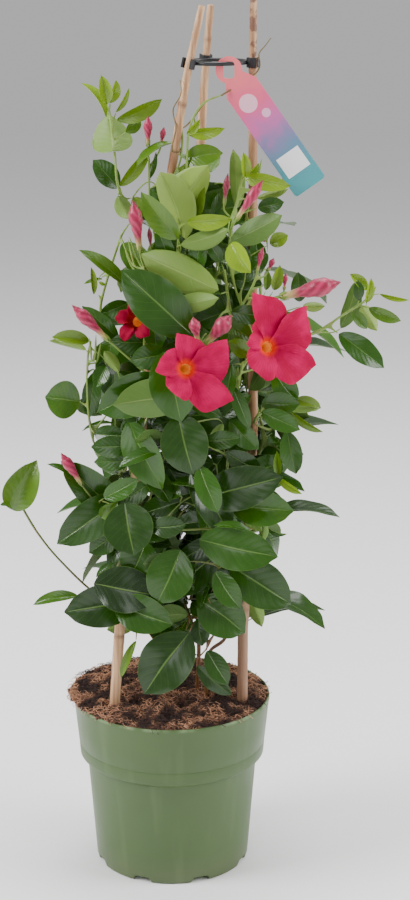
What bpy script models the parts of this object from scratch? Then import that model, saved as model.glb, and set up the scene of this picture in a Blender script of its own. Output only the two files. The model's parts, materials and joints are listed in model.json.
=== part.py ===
"""A mandevilla twining up three bamboo canes in its nursery pot. Metres, +Z up, its front towards -Y."""

import math
import random
from collections import namedtuple

import bmesh
import bpy
from mathutils import Matrix, Vector
from mathutils.bvhtree import BVHTree

MM = 0.001
GAP = 0.3 * MM

# Pot: a 17 cm nursery pot with a wide rim band
POT_RADIUS = 85.0 * MM
POT_HEIGHT = 150.0 * MM
POT_WALL = 1.8 * MM
POT_FLOOR = 2.4 * MM
FOOT_RADIUS = 66.4 * MM
BAND_FOOT = Vector((80.2, 101.0)) * MM
SHOULDER = Vector((73.5, 92.0)) * MM
POT_STEPS = 32
DRAIN_NOTCHES = 8
NOTCH_SIZE = (16.0 * MM, 12.0 * MM, 5.0 * MM)

# Soil: a low mound that spills a little over the left of the rim
SOIL_STEPS = 20
SOIL_MOUND = 7.0 * MM
SOIL_LUMP = 2.2 * MM
SOIL_SPILL = 3.0 * MM

# Canes: thick at the soil, thin at the top
CANE_FOOT = 60.0 * MM
CANE_FOOT_DRAWN_IN = 0.93
CANE_WIDTHS = ((150.0, 4.7), (615.0, 3.75), (745.0, 2.8))

# Rings: a round bar with one snap clip for each cane
RING_BAR = 1.6 * MM
CLIP_WALL = 1.5 * MM
CLIP_MOUTH = math.radians(100)
TOP_RING_HEIGHT = 688.0 * MM
MID_RING_HEIGHT = 381.0 * MM

# Tag: a strip hung by its eye on the top ring
TAG_THICK = 0.8 * MM
TAG_WIDTH = 28.6 * MM
TAG_LENGTH = 112.0 * MM
TAG_HEAD = 10.6 * MM
TAG_EYE = (4.5 * MM, 6.6 * MM)
TAG_TURN = math.radians(-33)
TAG_DROOP = math.radians(-54)

# Leaves, stalks, buds and petals
BLADE = 0.8 * MM
STALK_WIDE = 0.8 * MM
STALK_THICK = 0.6 * MM
SHARPEST_BEND = math.radians(112)
STEM_RADIUS = (1.5 * MM, 1.0 * MM)
VINE_RADIUS = (2.2 * MM, 1.3 * MM)
TWINE_PITCH = 132.0 * MM
TWINE_STEP = 21.0 * MM
BUD_STALK = 0.9 * MM
PETAL = 0.9 * MM
BLOOM_TUBE = 30.0 * MM

# The standing view that the plant's outline is set out from: a 410 x 900 frame, its eye in metres
VIEW_MIDDLE = (205.0, 450.0)
VIEW_FOCAL = 1961.0
VIEW_TILT = math.radians(15.16)
EYE = Vector((0.0288, -1.589, 0.798))

# A point is set out by where it lies across and down the view, and its depth Y in millimetres
Sight = namedtuple("Sight", "across down depth")

CANES = {
    "cane_left": [
        Sight(115.0, 700.0, -35.5), Sight(120.6, 611.0, -35.5), Sight(141.0, 435.0, -34.5),
        Sight(171.9, 168.0, -26.0), Sight(188.7, 66.0, -23.0), Sight(202.0, 5.6, -20.0),
    ],
    "cane_back": [
        Sight(169.0, 660.0, 60.0), Sight(182.8, 435.0, 53.0), Sight(202.4, 116.0, 31.0),
        Sight(205.4, 67.0, 28.0), Sight(210.6, 5.0, 23.0),
    ],
    "cane_right": [
        Sight(242.5, 710.0, -23.0), Sight(242.7, 629.0, -22.0), Sight(253.0, 435.0, -18.5),
        Sight(252.7, 149.0, -11.0), Sight(252.7, 60.0, -9.0), Sight(253.8, -8.0, -7.0),
    ],
}
OUTWARD = {"cane_left": 219.5, "cane_back": 99.5, "cane_right": 339.5}

# A vine's root in the soil, the way it takes from there, and the cane that it then twines up
Vine = namedtuple("Vine", "root way cane top back_from back_to")
VINES = {
    "vine_left": Vine((-8.0, -2.0), [
        Sight(160.0, 648.0, -10.0), Sight(146.0, 628.0, -16.0), Sight(134.0, 608.0, -22.0),
    ], "cane_left", 640.0, 120.0, 215.0),
    "vine_back": Vine((12.0, 20.0), [
        Sight(183.0, 640.0, 30.0), Sight(179.0, 615.0, 38.0),
    ], "cane_back", 625.0, 45.0, 140.0),
    "vine_right": Vine((30.0, -10.0), [
        Sight(208.0, 654.0, -13.0), Sight(216.0, 646.0, -17.0), Sight(224.0, 640.0, -20.0),
        Sight(230.0, 628.0, -24.0), Sight(237.0, 612.0, -28.0),
    ], "cane_right", 610.0, -35.0, 60.0),
    "vine_front": Vine((22.0, -4.0), [
        Sight(199.0, 655.0, -8.0), Sight(199.0, 638.0, -13.0), Sight(204.0, 621.0, -19.0),
        Sight(211.0, 603.0, -27.0), Sight(214.0, 590.0, -34.0), Sight(216.5, 570.0, -42.0),
        Sight(219.5, 550.0, -49.0), Sight(222.0, 533.0, -53.0), Sight(224.6, 502.0, -50.0),
        Sight(227.0, 471.0, -42.0), Sight(229.0, 448.0, -32.0), Sight(232.0, 425.0, -28.0),
        Sight(236.0, 395.0, -28.0), Sight(238.0, 360.0, -28.0), Sight(234.0, 325.0, -29.0),
        Sight(228.0, 300.0, -32.0), Sight(225.0, 270.0, -34.0),
    ], None, 0.0, 0.0, 0.0),
}

# A leaf: base and tip across and down the view, breadth as seen there, depth of its base, how far its
# tip leans back from that, its roll (0 shows the upper side, 180 the underside), and how young it is
Leaf = namedtuple("Leaf", "base tip breadth depth lean roll young")
# A bud: tip and base, breadth and depth. A spike is a green bud too small for a colour of its own
Bud = namedtuple("Bud", "name tip base breadth depth")
Spike = namedtuple("Spike", "tip base breadth depth")
# A leafy stem: the vine that it grows from, the way it takes, and what it carries
Shoot = namedtuple("Shoot", "vine way leaves buds spikes")

SHOOTS = {
    "shoot_top_left": Shoot("vine_left", [
        Sight(152, 300, -24), Sight(143, 262, -20), Sight(133, 235, -16), Sight(124, 208, -13),
        Sight(118, 180, -10), Sight(113, 153, -8), Sight(111, 128, -4), Sight(109, 110, -3),
    ], [
        Leaf((113, 151), (108, 113), 44, -8, 26, 180, 0.6),
        Leaf((118, 188), (93, 160), 22, -4, 2, 20, 0.1),
        Leaf((120, 186), (150, 148), 13, -12, -3, 20, 0.5),
        Leaf((117, 120), (162, 99), 17, 0, 8, 25, 0.7),
        Leaf((106, 117), (81, 83), 9, -2, 5, 50, 1.0),
        Leaf((107, 104), (101, 75), 16, -6, -4, 10, 1.0),
        Leaf((110, 103), (116, 80), 11, 2, 3, 30, 1.0),
        Leaf((116, 112), (129, 88), 6, 4, 0, 30, 0.8),
        Leaf((126, 132), (141, 120), 12, 14, 5, 20, 0.3),
        Leaf((118, 196), (130, 219), 18, -16, -6, 170, 0.5),
        Leaf((133, 198), (146, 217), 14, -6, -2, 0, 0.3),
    ], [], []),
    "shoot_twin_buds": Shoot("vine_left", [
        Sight(160, 262, -36), Sight(152, 225, -30), Sight(149, 200, -26), Sight(149, 175, -20),
        Sight(149, 158, -17),
    ], [
        Leaf((150, 190), (167, 200), 15, -26, -2, 15, 0.0),
        Leaf((150, 178), (156, 152), 5, -18, 2, 30, 0.3),
    ], [
        Bud("bud_top_left", (148, 116), (148, 146), 9, -16),
        Bud("bud_top_small", (164, 127), (161, 145), 6, -12),
    ], []),
    "shoot_upper_middle": Shoot("vine_left", [
        Sight(178, 270, -40), Sight(178, 245, -44), Sight(179, 222, -44), Sight(182, 200, -38),
        Sight(187, 178, -34), Sight(187, 155, -32), Sight(188, 135, -33), Sight(193, 116, -33),
        Sight(204, 101, -30), Sight(222, 95, -28),
    ], [
        Leaf((178, 239), (141, 192), 25, -58, -6, -15, 0.35),
        Leaf((177, 214), (160, 172), 28, -50, -10, 160, 0.8),
        Leaf((181, 213), (208, 165), 32, -46, -8, 195, 0.8),
        Leaf((186, 204), (189, 160), 30, -28, 4, 0, 0.6),
        Leaf((185, 158), (223, 153), 21, -28, -6, -10, 0.2),
        Leaf((187, 132), (225, 128), 14, -22, -4, 25, 0.9),
        Leaf((187, 134), (200, 119), 9, -26, -4, 20, 1.0),
        Leaf((181, 245), (229, 229), 21, -60, -6, 165, 0.6),
        Leaf((187, 222), (232, 219), 18, -50, -4, 12, 0.6),
        Leaf((212, 219), (219, 193), 10, -26, 4, 20, 0.0),
        Leaf((170, 263), (157, 228), 17, -50, -4, 0, 0.05),
        Leaf((177, 258), (171, 217), 15, -52, -4, 10, 0.1),
        Leaf((197, 271), (200, 238), 18, -52, -4, -20, 0.0),
    ], [], []),
    "shoot_upper_right": Shoot("vine_right", [
        Sight(236, 292, -36), Sight(229, 264, -42), Sight(229, 245, -44), Sight(232, 225, -42),
        Sight(236, 205, -36), Sight(241, 183, -30), Sight(245, 170, -28),
    ], [
        Leaf((230, 242), (282, 215), 25, -52, -10, 165, 0.1),
        Leaf((245, 177), (291, 186), 18, -34, -10, 10, 0.55),
        Leaf((231, 243), (251, 273), 25, -62, -12, 20, 0.7),
        Leaf((237, 208), (233, 149), 17, -32, -2, 165, 0.6),
        Leaf((245, 177), (243, 152), 12, -34, -4, 20, 1.0),
        Leaf((246, 176), (259, 163), 8, -30, -2, 30, 1.0),
        Leaf((257, 198), (288, 189), 9, -24, -4, 165, 0.5),
        Leaf((258, 208), (284, 202), 16, -30, -2, 0, 0.0),
        Leaf((270, 244), (288, 235), 17, -26, 0, 0, 0.8),
        Leaf((246, 267), (242, 243), 15, -44, -3, -20, 0.1),
        Leaf((258, 264), (256, 240), 17, -28, 2, 10, 0.0),
    ], [
        Bud("bud_upper_right", (263, 180), (236, 220), 11, -58),
        Bud("bud_upper_dark", (228, 173), (224, 205), 7, -48),
        Bud("bud_by_tag", (292, 164), (283, 180), 5, -30),
        Bud("bud_behind_leaf", (258, 241), (274, 230), 10, -18),
    ], []),
    "shoot_right_buds": Shoot("vine_right", [
        Sight(234, 322, -44), Sight(244, 302, -50), Sight(253, 286, -54), Sight(258, 272, -54),
    ], [
        Leaf((274, 290), (280, 265), 13, -46, -2, 10, 0.8),
        Leaf((266, 290), (266, 269), 9, -44, 0, 20, 0.6),
        Leaf((299, 287), (298, 272), 12, -30, 0, 10, 0.0),
        Leaf((303, 306), (325, 306), 11, -40, 0, 170, 0.6),
        Leaf((262, 284), (228, 279), 17, -34, 6, 0, 0.0),
    ], [
        Bud("bud_big_right", (341, 282), (281, 297), 19, -62),
        Bud("bud_slender", (263, 247), (257, 272), 6, -54),
        Bud("bud_right_small", (274, 258), (268, 271), 6, -44),
        Bud("bud_right_tiny", (286, 273), (284, 290), 5, -50),
    ], []),
    "shoot_front_bloom": Shoot("vine_front", [
        Sight(222, 312, -42), Sight(212, 330, -56), Sight(204, 348, -66),
    ], [
        Leaf((221, 262), (207, 240), 13, -44, -4, 0, 0.1),
    ], [
        Bud("bud_over_bloom", (193, 317), (198, 342), 12, -84),
        Bud("bud_beside_bloom", (232, 315), (206, 344), 17, -80),
    ], []),
    "shoot_left_upper": Shoot("vine_left", [
        Sight(166, 330, -40), Sight(168, 312, -50), Sight(160, 296, -54), Sight(151, 282, -54),
        Sight(144, 266, -52),
    ], [
        Leaf((166, 311), (121, 270), 35, -60, 4, 0, 0.0),
        Leaf((190, 277), (141, 254), 28, -64, -6, 185, 0.55),
        Leaf((169, 306), (219, 298), 21, -72, -6, 175, 0.5),
    ], [
        Bud("bud_left_upper", (133, 200), (140, 252), 14, -48),
        Bud("bud_brown", (149, 227), (151, 250), 5, -44),
    ], [
        Spike((120, 234), (132, 266), 3.5, -44), Spike((128, 239), (135, 268), 4, -48),
        Spike((125, 251), (133, 270), 3.5, -40), Spike((129, 236), (139, 264), 3.5, -40),
    ]),
    "shoot_left_arching": Shoot("vine_left", [
        Sight(152, 340, -28), Sight(140, 322, -26), Sight(131, 306, -24),
    ], [
        Leaf((126, 285), (79, 250), 14, -22, 0, 30, 0.5),
        Leaf((128, 303), (100, 314), 19, -30, -2, -20, 0.35),
        Leaf((118, 338), (82, 306), 17, -16, -4, 0, 0.05),
        Leaf((150, 342), (110, 341), 23, -44, -4, -15, 0.15),
    ], [], []),
    "shoot_hanging": Shoot("vine_left", [
        Sight(128, 345, -10), Sight(108, 332, -6), Sight(99, 312, -4), Sight(104, 290, -4),
        Sight(110, 271, -4), Sight(115, 255, -4), Sight(121, 235, -4), Sight(129, 224, -4),
    ], [
        Leaf((93, 281), (91, 267), 5, -4, 0, 20, 0.7),
        Leaf((93, 281), (84, 284), 3, -2, 0, 30, 0.6),
        Leaf((99, 282), (106, 285), 4, -6, 0, 10, 0.6),
    ], [], []),
    "shoot_left_cluster": Shoot("vine_left", [
        Sight(130, 476, -36), Sight(106, 462, -34), Sight(93, 444, -32), Sight(88.5, 414, -32),
        Sight(86.5, 380, -32), Sight(88, 355, -30), Sight(91, 341, -28),
    ], [
        Leaf((80, 402), (45, 397), 40, -24, -4, 0, 0.3),
        Leaf((89, 341), (52, 337), 18, -26, -4, 10, 0.9),
        Leaf((86, 350), (49, 341), 10, -20, 2, 150, 0.6),
        Leaf((95, 372), (89, 418), 19, -12, 2, 0, 0.0),
        Leaf((106, 366), (96, 387), 17, -44, -6, 10, 0.3),
        Leaf((119, 372), (104, 351), 13, -36, -2, 170, 0.6),
        Leaf((113, 423), (82, 431), 4, -26, 0, 75, 0.3),
    ], [], [
        Spike((89, 337), (92, 362), 4, -34), Spike((96, 334), (95, 362), 4, -36),
        Spike((101, 342), (97, 364), 4, -32),
    ]),
    "shoot_left_bud": Shoot("vine_left", [
        Sight(160, 385, -44), Sight(148, 374, -48), Sight(135, 365, -48),
    ], [
        Leaf((168, 354), (130, 361), 26, -58, -4, 0, 0.05),
        Leaf((166, 379), (97, 412), 42, -58, -6, -8, 0.15),
        Leaf((163, 398), (113, 405), 29, -72, -6, 172, 0.3),
        Leaf((142, 414), (123, 437), 22, -50, 0, 0, 0.1),
        Leaf((170, 378), (181, 422), 33, -84, -2, 0, 0.05),
    ], [
        Bud("bud_left", (72, 305), (108, 340), 13, -44),
    ], []),
    "shoot_left_middle": Shoot("vine_left", [
        Sight(158, 468, -40), Sight(146, 456, -46), Sight(134, 450, -46),
    ], [
        Leaf((131, 446), (91, 447), 22, -52, 0, 0, 0.0),
        Leaf((160, 450), (119, 467), 13, -66, -2, 35, 0.15),
        Leaf((131, 461), (94, 462), 19, -40, 2, 0, 0.0),
    ], [], []),
    "shoot_left_lower": Shoot("vine_left", [
        Sight(150, 560, -36), Sight(128, 545, -42), Sight(110, 530, -46), Sight(102, 512, -48),
        Sight(99, 500, -46),
    ], [
        Leaf((100, 514), (57, 544), 28, -48, -6, 0, 0.15),
        Leaf((101, 497), (61, 461), 27, -40, -2, 0, 0.5),
        Leaf((128, 522), (134, 556), 36, -74, -8, 0, 0.15),
        Leaf((104, 498), (139, 479), 20, -58, -4, 0, 0.2),
        Leaf((101, 517), (118, 502), 18, -62, -4, 10, 0.7),
        Leaf((118, 534), (89, 553), 23, -52, 0, 0, 0.0),
        Leaf((146, 541), (130, 577), 40, -56, -6, 0, 0.1),
        Leaf((78, 481), (47, 464), 7, -30, 0, 50, 0.4),
        Leaf((103, 531), (76, 544), 6, -30, 0, 50, 0.4),
    ], [
        Bud("bud_left_lower", (61, 453), (82, 485), 11, -46),
    ], []),
    "shoot_runner": Shoot("vine_left", [
        Sight(122, 610, -28), Sight(92, 593, -28), Sight(55, 556, -28), Sight(37, 533, -28),
        Sight(26, 514, -28), Sight(20, 503, -28),
    ], [
        Leaf((20, 492), (37, 460), 28, -30, -2, 0, 0.9),
        Leaf((17, 503), (0, 505), 6, -26, 0, 20, 0.5),
        Leaf((21, 500), (30, 497), 5, -28, 0, 10, 0.6),
    ], [], []),
    "shoot_bottom_left": Shoot("vine_left", [
        Sight(140, 620, -36), Sight(128, 612, -46), Sight(116, 606, -48),
    ], [
        Leaf((111, 605), (64, 612), 31, -48, -4, 0, 0.2),
        Leaf((78, 596), (33, 605), 12, -32, 0, 35, 0.5),
        Leaf((118, 588), (160, 596), 33, -66, -4, 0, 0.0),
        Leaf((136, 612), (173, 625), 28, -72, -8, 0, 0.3),
        Leaf((113, 563), (96, 577), 7, -22, 0, 30, 0.2),
        Leaf((115, 577), (101, 597), 9, -22, 0, 20, 0.3),
        Leaf((134, 620), (107, 630), 22, 6, 2, 180, 0.4),
        Leaf((136, 641), (121, 678), 9, -52, -2, 20, 0.6),
    ], [], []),
    "shoot_bottom_front": Shoot("vine_front", [
        Sight(198, 618, -34), Sight(190, 618, -48), Sight(186, 630, -56),
    ], [
        Leaf((189, 633), (144, 694), 52, -72, -12, 0, 0.15),
        Leaf((180, 598), (184, 643), 18, -56, 0, 0, 0.0),
        Leaf((198, 619), (202, 646), 21, -60, -6, 0, 0.05),
    ], [], []),
    "shoot_bottom_right": Shoot("vine_right", [
        Sight(222, 622, -38), Sight(214, 634, -44), Sight(206, 650, -46),
    ], [
        Leaf((207, 651), (228, 685), 22, -60, -6, 0, 0.1),
        Leaf((197, 666), (232, 695), 17, -50, -2, 20, 0.05),
        Leaf((216, 612), (245, 633), 32, -58, -4, 0, 0.2),
        Leaf((252, 600), (262, 627), 17, -14, 0, 180, 0.6),
    ], [], []),
    "shoot_right_lower": Shoot("vine_right", [
        Sight(236, 566, -38), Sight(228, 560, -50), Sight(222, 566, -56),
    ], [
        Leaf((228, 546), (278, 557), 31, -74, -6, 0, 0.05),
        Leaf((231, 566), (291, 604), 46, -56, -6, 0, 0.2),
        Leaf((215, 572), (240, 609), 25, -66, -4, 0, 0.05),
        Leaf((217, 538), (174, 565), 20, -52, -2, 0, 0.0),
        Leaf((214, 558), (168, 594), 32, -46, 0, 0, 0.0),
        Leaf((172, 570), (157, 604), 33, -72, -4, 0, 0.0),
        Leaf((152, 572), (132, 588), 14, -62, 0, 0, 0.15),
    ], [], []),
    "shoot_right_arching": Shoot("vine_front", [
        Sight(232, 540, -56), Sight(246, 532, -56), Sight(258, 530, -52),
    ], [
        Leaf((252, 532), (213, 526), 8, -72, -4, 50, 0.4),
        Leaf((268, 528), (287, 534), 4, -44, 0, 70, 0.5),
        Leaf((262, 531), (244, 521), 11, -58, 0, 165, 0.8),
        Leaf((263, 541), (263, 521), 11, -50, 0, 170, 0.7),
    ], [], []),
    "shoot_right_middle": Shoot("vine_right", [
        Sight(246, 500, -34), Sight(238, 496, -46), Sight(240, 488, -52),
    ], [
        Leaf((232, 490), (283, 477), 31, -64, -4, 0, 0.0),
        Leaf((254, 508), (294, 511), 27, -58, -4, 0, 0.35),
        Leaf((278, 476), (277, 451), 10, -52, -2, 0, 1.0),
        Leaf((277, 477), (302, 494), 9, -58, -4, 20, 0.9),
        Leaf((250, 461), (274, 461), 13, -48, 0, 0, 0.05),
    ], [], []),
    "shoot_right_upper": Shoot("vine_right", [
        Sight(252, 424, -34), Sight(258, 414, -42), Sight(266, 405, -46),
    ], [
        Leaf((262, 403), (300, 404), 24, -50, -4, 0, 0.25),
        Leaf((262, 412), (300, 430), 21, -58, -4, 0, 0.15),
        Leaf((287, 431), (296, 474), 23, -44, 0, 0, 0.35),
        Leaf((296, 399), (321, 408), 16, -36, 0, 0, 0.6),
        Leaf((284, 406), (318, 408), 8, -52, -2, 150, 0.5),
        Leaf((290, 411), (323, 432), 8, -44, 0, 40, 0.5),
    ], [], []),
    "shoot_far_right": Shoot("vine_right", [
        Sight(268, 352, -30), Sight(296, 340, -36), Sight(322, 330, -40), Sight(338, 318, -42),
        Sight(352, 309, -42), Sight(364, 302, -42), Sight(371, 294, -42),
    ], [
        Leaf((339, 334), (384, 368), 24, -42, -4, -15, 0.1),
        Leaf((341, 328), (357, 280), 17, -38, -6, 150, 0.15),
        Leaf((359, 300), (358, 280), 11, -46, 0, 0, 0.05),
        Leaf((353, 311), (367, 329), 13, -50, -2, 0, 0.5),
        Leaf((369, 308), (401, 321), 14, -46, -2, 10, 0.6),
        Leaf((369, 318), (377, 331), 13, -38, 0, 175, 0.8),
        Leaf((380, 294), (409, 300), 6, -40, 0, 20, 1.0),
        Leaf((359, 282), (350, 274), 9, -38, 0, 20, 0.9),
        Leaf((369, 291), (371, 278), 7, -40, 0, 20, 1.0),
    ], [], [
        Spike((376, 286), (372, 296), 3, -42),
    ]),
    "shoot_front_middle": Shoot("vine_front", [
        Sight(222, 452, -52), Sight(206, 446, -64), Sight(192, 430, -70), Sight(180, 408, -74),
    ], [
        Leaf((178, 414), (193, 475), 48, -92, -6, 0, 0.1),
        Leaf((199, 466), (218, 513), 25, -74, -4, 0, 0.15),
        Leaf((186, 396), (223, 418), 17, -76, -2, 0, 0.3),
        Leaf((223, 424), (208, 448), 11, -66, -2, 175, 0.4),
    ], [], []),
    "shoot_front_lower": Shoot("vine_front", [
        Sight(212, 528, -58), Sight(190, 530, -64), Sight(166, 530, -70), Sight(152, 528, -74),
    ], [
        Leaf((152, 528), (186, 525), 22, -78, -4, 0, 0.15),
        Leaf((200, 498), (209, 539), 15, -62, -2, 0, 0.05),
    ], [], []),
    "shoot_between_blooms": Shoot("vine_front", [
        Sight(238, 392, -46), Sight(240, 376, -56), Sight(243, 362, -60),
    ], [
        Leaf((252, 354), (228, 341), 19, -72, 0, 0, 0.45),
        Leaf((232, 364), (226, 403), 15, -74, -4, 0, 0.35),
        Leaf((232, 386), (250, 429), 15, -62, -2, 0, 0.05),
        Leaf((274, 372), (297, 402), 24, -58, -2, 0, 0.1),
    ], [], []),
}

# A bloom: its throat across and down the view, its depth, how far it turns right and up from the eye,
# the shoot that carries it, and for each petal the way that it points and how far it reaches
Bloom = namedtuple("Bloom", "across down depth turn lift shoot petals hidden")
BLOOMS = {
    "bloom_front": Bloom(187, 369, -102, 12, 0, "shoot_front_bloom",
                         [(93, 29), (29, 39), (-46, 44), (-106, 24), (172, 25)], False),
    "bloom_right": Bloom(270, 346, -88, 24, 8, "shoot_between_blooms",
                         [(99, 44), (36, 45), (-27, 42), (-108, 28), (155, 20)], False),
    "bloom_hidden_upper": Bloom(156, 284, -42, -26, 24, "shoot_left_upper",
                                [(100, 17), (28, 17), (-44, 19), (-116, 19), (172, 17)], True),
    "bloom_hidden_left": Bloom(134, 320, -50, -24, 10, "shoot_left_arching",
                               [(100, 17), (28, 17), (-44, 19), (-116, 19), (172, 17)], True),
}
# A petal's edge from one notch to the next: how far across it, share of its reach, and lift
PETAL_EDGE = (
    (0.0, 0.52, -0.05), (0.25, 0.8, -0.02), (0.58, 0.93, 0.02), (0.82, 1.0, 0.05), (0.97, 0.74, 0.06),
)
PLAIN_EDGE = ((0.0, 0.6, -0.04), (0.7, 1.0, 0.02))

COLOURS = {
    "pot": (0.19, 0.31, 0.15, 0.45),
    "soil": (0.13, 0.06, 0.035, 0.95),
    "cane": (0.62, 0.42, 0.24, 0.6),
    "ring": (0.012, 0.012, 0.014, 0.4),
    "tag": (0.75, 0.2, 0.36, 0.4),
    "vine": (0.1, 0.2, 0.04, 0.6),
    "shoot": (0.08, 0.24, 0.03, 0.4),
    "bloom": (0.62, 0.012, 0.05, 0.5),
    "bud": (0.68, 0.16, 0.22, 0.5),
}

# The leafy body's edges in the view, left and right at each level, for the leaves that fill it
BODY = (
    (185, 168, 200), (210, 142, 250), (240, 140, 260), (300, 132, 262), (330, 112, 268),
    (360, 108, 278), (400, 108, 288), (440, 104, 284), (480, 112, 282), (560, 112, 278),
    (600, 124, 268), (622, 138, 212),
)
BODY_STEP = 7
FILL_LEAVES = 46

Placed = namedtuple("Placed", "tree low high owner part verts faces")


def clear_scene():
    for obj in list(bpy.data.objects):
        bpy.data.objects.remove(obj)


def material_for(kind):
    found = bpy.data.materials.get(kind)
    if found:
        return found
    red, green, blue, roughness = COLOURS[kind]
    material = bpy.data.materials.new(kind)
    material.use_nodes = True
    shader = material.node_tree.nodes["Principled BSDF"]
    shader.inputs["Base Color"].default_value = (red, green, blue, 1)
    shader.inputs["Roughness"].default_value = roughness
    shader.inputs["Metallic"].default_value = 0
    return material


def collection_for(name):
    found = bpy.data.collections.get(name)
    if not found:
        found = bpy.data.collections.new(name)
        bpy.context.scene.collection.children.link(found)
    return found


def mesh_object(name, verts, faces, kind, smooth=True):
    mesh = bpy.data.meshes.new(name)
    mesh.from_pydata([tuple(v) for v in verts], [], faces)
    mesh.materials.append(material_for(kind))
    face_outward(mesh)
    if smooth:
        mesh.shade_smooth()
    obj = bpy.data.objects.new(name, mesh)
    collection_for("mandevilla").objects.link(obj)
    return obj


def face_outward(mesh):
    form = bmesh.new()
    form.from_mesh(mesh)
    bmesh.ops.recalc_face_normals(form, faces=form.faces)
    form.to_mesh(mesh)
    form.free()


def keep_largest(mesh):
    """Leaves only the largest body of the mesh: slivers where two leaves touch go."""
    form = bmesh.new()
    form.from_mesh(mesh)
    left = set(form.verts)
    bodies = []
    while left:
        body, edge = set(), [left.pop()]
        while edge:
            vert = edge.pop()
            body.add(vert)
            near = {e.other_vert(vert) for e in vert.link_edges} & left
            left -= near
            edge += near
        bodies.append(body)
    bodies.sort(key=len)
    bmesh.ops.delete(form, geom=[v for body in bodies[:-1] for v in body], context="VERTS")
    form.to_mesh(mesh)
    form.free()


def made_mesh(obj, weld=True):
    """The object as Blender evaluates it, as a plain mesh object of the same name."""
    graph = bpy.context.evaluated_depsgraph_get()
    mesh = bpy.data.meshes.new_from_object(obj.evaluated_get(graph))
    mesh.transform(obj.matrix_world)
    if weld:
        form = bmesh.new()
        form.from_mesh(mesh)
        bmesh.ops.remove_doubles(form, verts=form.verts, dist=0.01 * MM)
        form.to_mesh(mesh)
        form.free()
    name = obj.name
    homes = list(obj.users_collection)
    bpy.data.objects.remove(obj)
    made = bpy.data.objects.new(name, mesh)
    for home in homes:
        home.objects.link(made)
    return made


def joined(base, others, operation="UNION"):
    """The base with all the others joined to it, or cut from it, in one Boolean."""
    group = bpy.data.collections.new("joining")
    bpy.context.scene.collection.children.link(group)
    for other in others:
        for home in list(other.users_collection):
            home.objects.unlink(other)
        group.objects.link(other)
    boolean = base.modifiers.new("join", "BOOLEAN")
    boolean.operation = operation
    boolean.operand_type = "COLLECTION"
    boolean.collection = group
    boolean.solver = "MANIFOLD"
    made = made_mesh(base, weld=False)
    keep_largest(made.data)
    for other in others:
        bpy.data.objects.remove(other)
    bpy.data.collections.remove(group)
    return made


def sight_point(across, down, depth):
    """The point at this depth that the eye sees at this place of the view."""
    right = (across - VIEW_MIDDLE[0]) / VIEW_FOCAL
    up = (VIEW_MIDDLE[1] - down) / VIEW_FOCAL
    cos, sin = math.cos(VIEW_TILT), math.sin(VIEW_TILT)
    reach = (depth * MM - EYE.y) / (cos + up * sin)
    return Vector((EYE.x + reach * right, depth * MM, EYE.z + reach * (up * cos - sin)))


def seen_size(pixels, point):
    """How long this many pixels of the view are at the point's distance."""
    return pixels * (point - EYE).length / VIEW_FOCAL


def placed(obj, owner, part):
    verts = [v.co.copy() for v in obj.data.vertices]
    faces = [tuple(p.vertices) for p in obj.data.polygons]
    return placed_shape(verts, faces, owner, part)


def placed_shape(verts, faces, owner, part):
    low = Vector((min(v.x for v in verts), min(v.y for v in verts), min(v.z for v in verts)))
    high = Vector((max(v.x for v in verts), max(v.y for v in verts), max(v.z for v in verts)))
    return Placed(BVHTree.FromPolygons(verts, faces), low, high, owner, part, verts, faces)


def boxes_meet(a, b, margin=0.0):
    return all(a.low[i] - margin <= b.high[i] and b.low[i] - margin <= a.high[i] for i in range(3))


def crosses(shape, others):
    return any(boxes_meet(shape, other) and shape.tree.overlap(other.tree) for other in others)


def along(path, step):
    """Points along a path of straight runs, one about every step."""
    points = [path[0]]
    for start, end in zip(path, path[1:]):
        count = max(1, round((end - start).length / step))
        points += [start.lerp(end, (i + 1) / count) for i in range(count)]
    return points


def too_near(path, radius, others, skip_owner=None, skip_length=0.0):
    """Whether a stem along the path comes within the gap of any of the others."""
    samples = along(path, 2.5 * MM)
    low = Vector([min(p[i] for p in samples) - radius for i in range(3)])
    high = Vector([max(p[i] for p in samples) + radius for i in range(3)])
    box = Placed(None, low, high, "", "", None, None)
    for other in others:
        if not boxes_meet(box, other, 1.0 * MM):
            continue
        for point in samples:
            if other.owner == skip_owner and (point - samples[0]).length < skip_length:
                continue
            if other.tree.find_nearest(point, radius + 1.4 * GAP)[0]:
                return True
    return False


def smooth_way(points, per_run=2):
    """A smooth curve through the points, as short straight runs."""
    ends = [points[0] * 2 - points[1]] + list(points) + [points[-1] * 2 - points[-2]]
    path = []
    for i in range(1, len(ends) - 2):
        a, b, c, d = ends[i - 1 : i + 3]
        for j in range(per_run):
            t = j / per_run
            path.append(0.5 * (2 * b + (c - a) * t + (2 * a - 5 * b + 4 * c - d) * t * t
                               + (3 * b - a - 3 * c + d) * t ** 3))
    return path + [points[-1]]


def rod(name, path, radii, kind, sides=1):
    """A round stem along the path: its radius at each point, and its roundness."""
    curve = bpy.data.curves.new(name, "CURVE")
    curve.dimensions = "3D"
    curve.bevel_depth = radii[0]
    curve.bevel_resolution = sides
    curve.use_fill_caps = True
    spline = curve.splines.new("POLY")
    spline.points.add(len(path) - 1)
    for point, place, radius in zip(spline.points, path, radii):
        point.co = (*place, 1)
        point.radius = radius / radii[0]
    curve.materials.append(material_for(kind))
    obj = bpy.data.objects.new(name, curve)
    collection_for("mandevilla").objects.link(obj)
    made = made_mesh(obj)
    made.data.shade_smooth()
    return made


def tapered(path, radii):
    count = len(path) - 1
    return [radii[0] + (radii[1] - radii[0]) * i / count for i in range(count + 1)]


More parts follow.
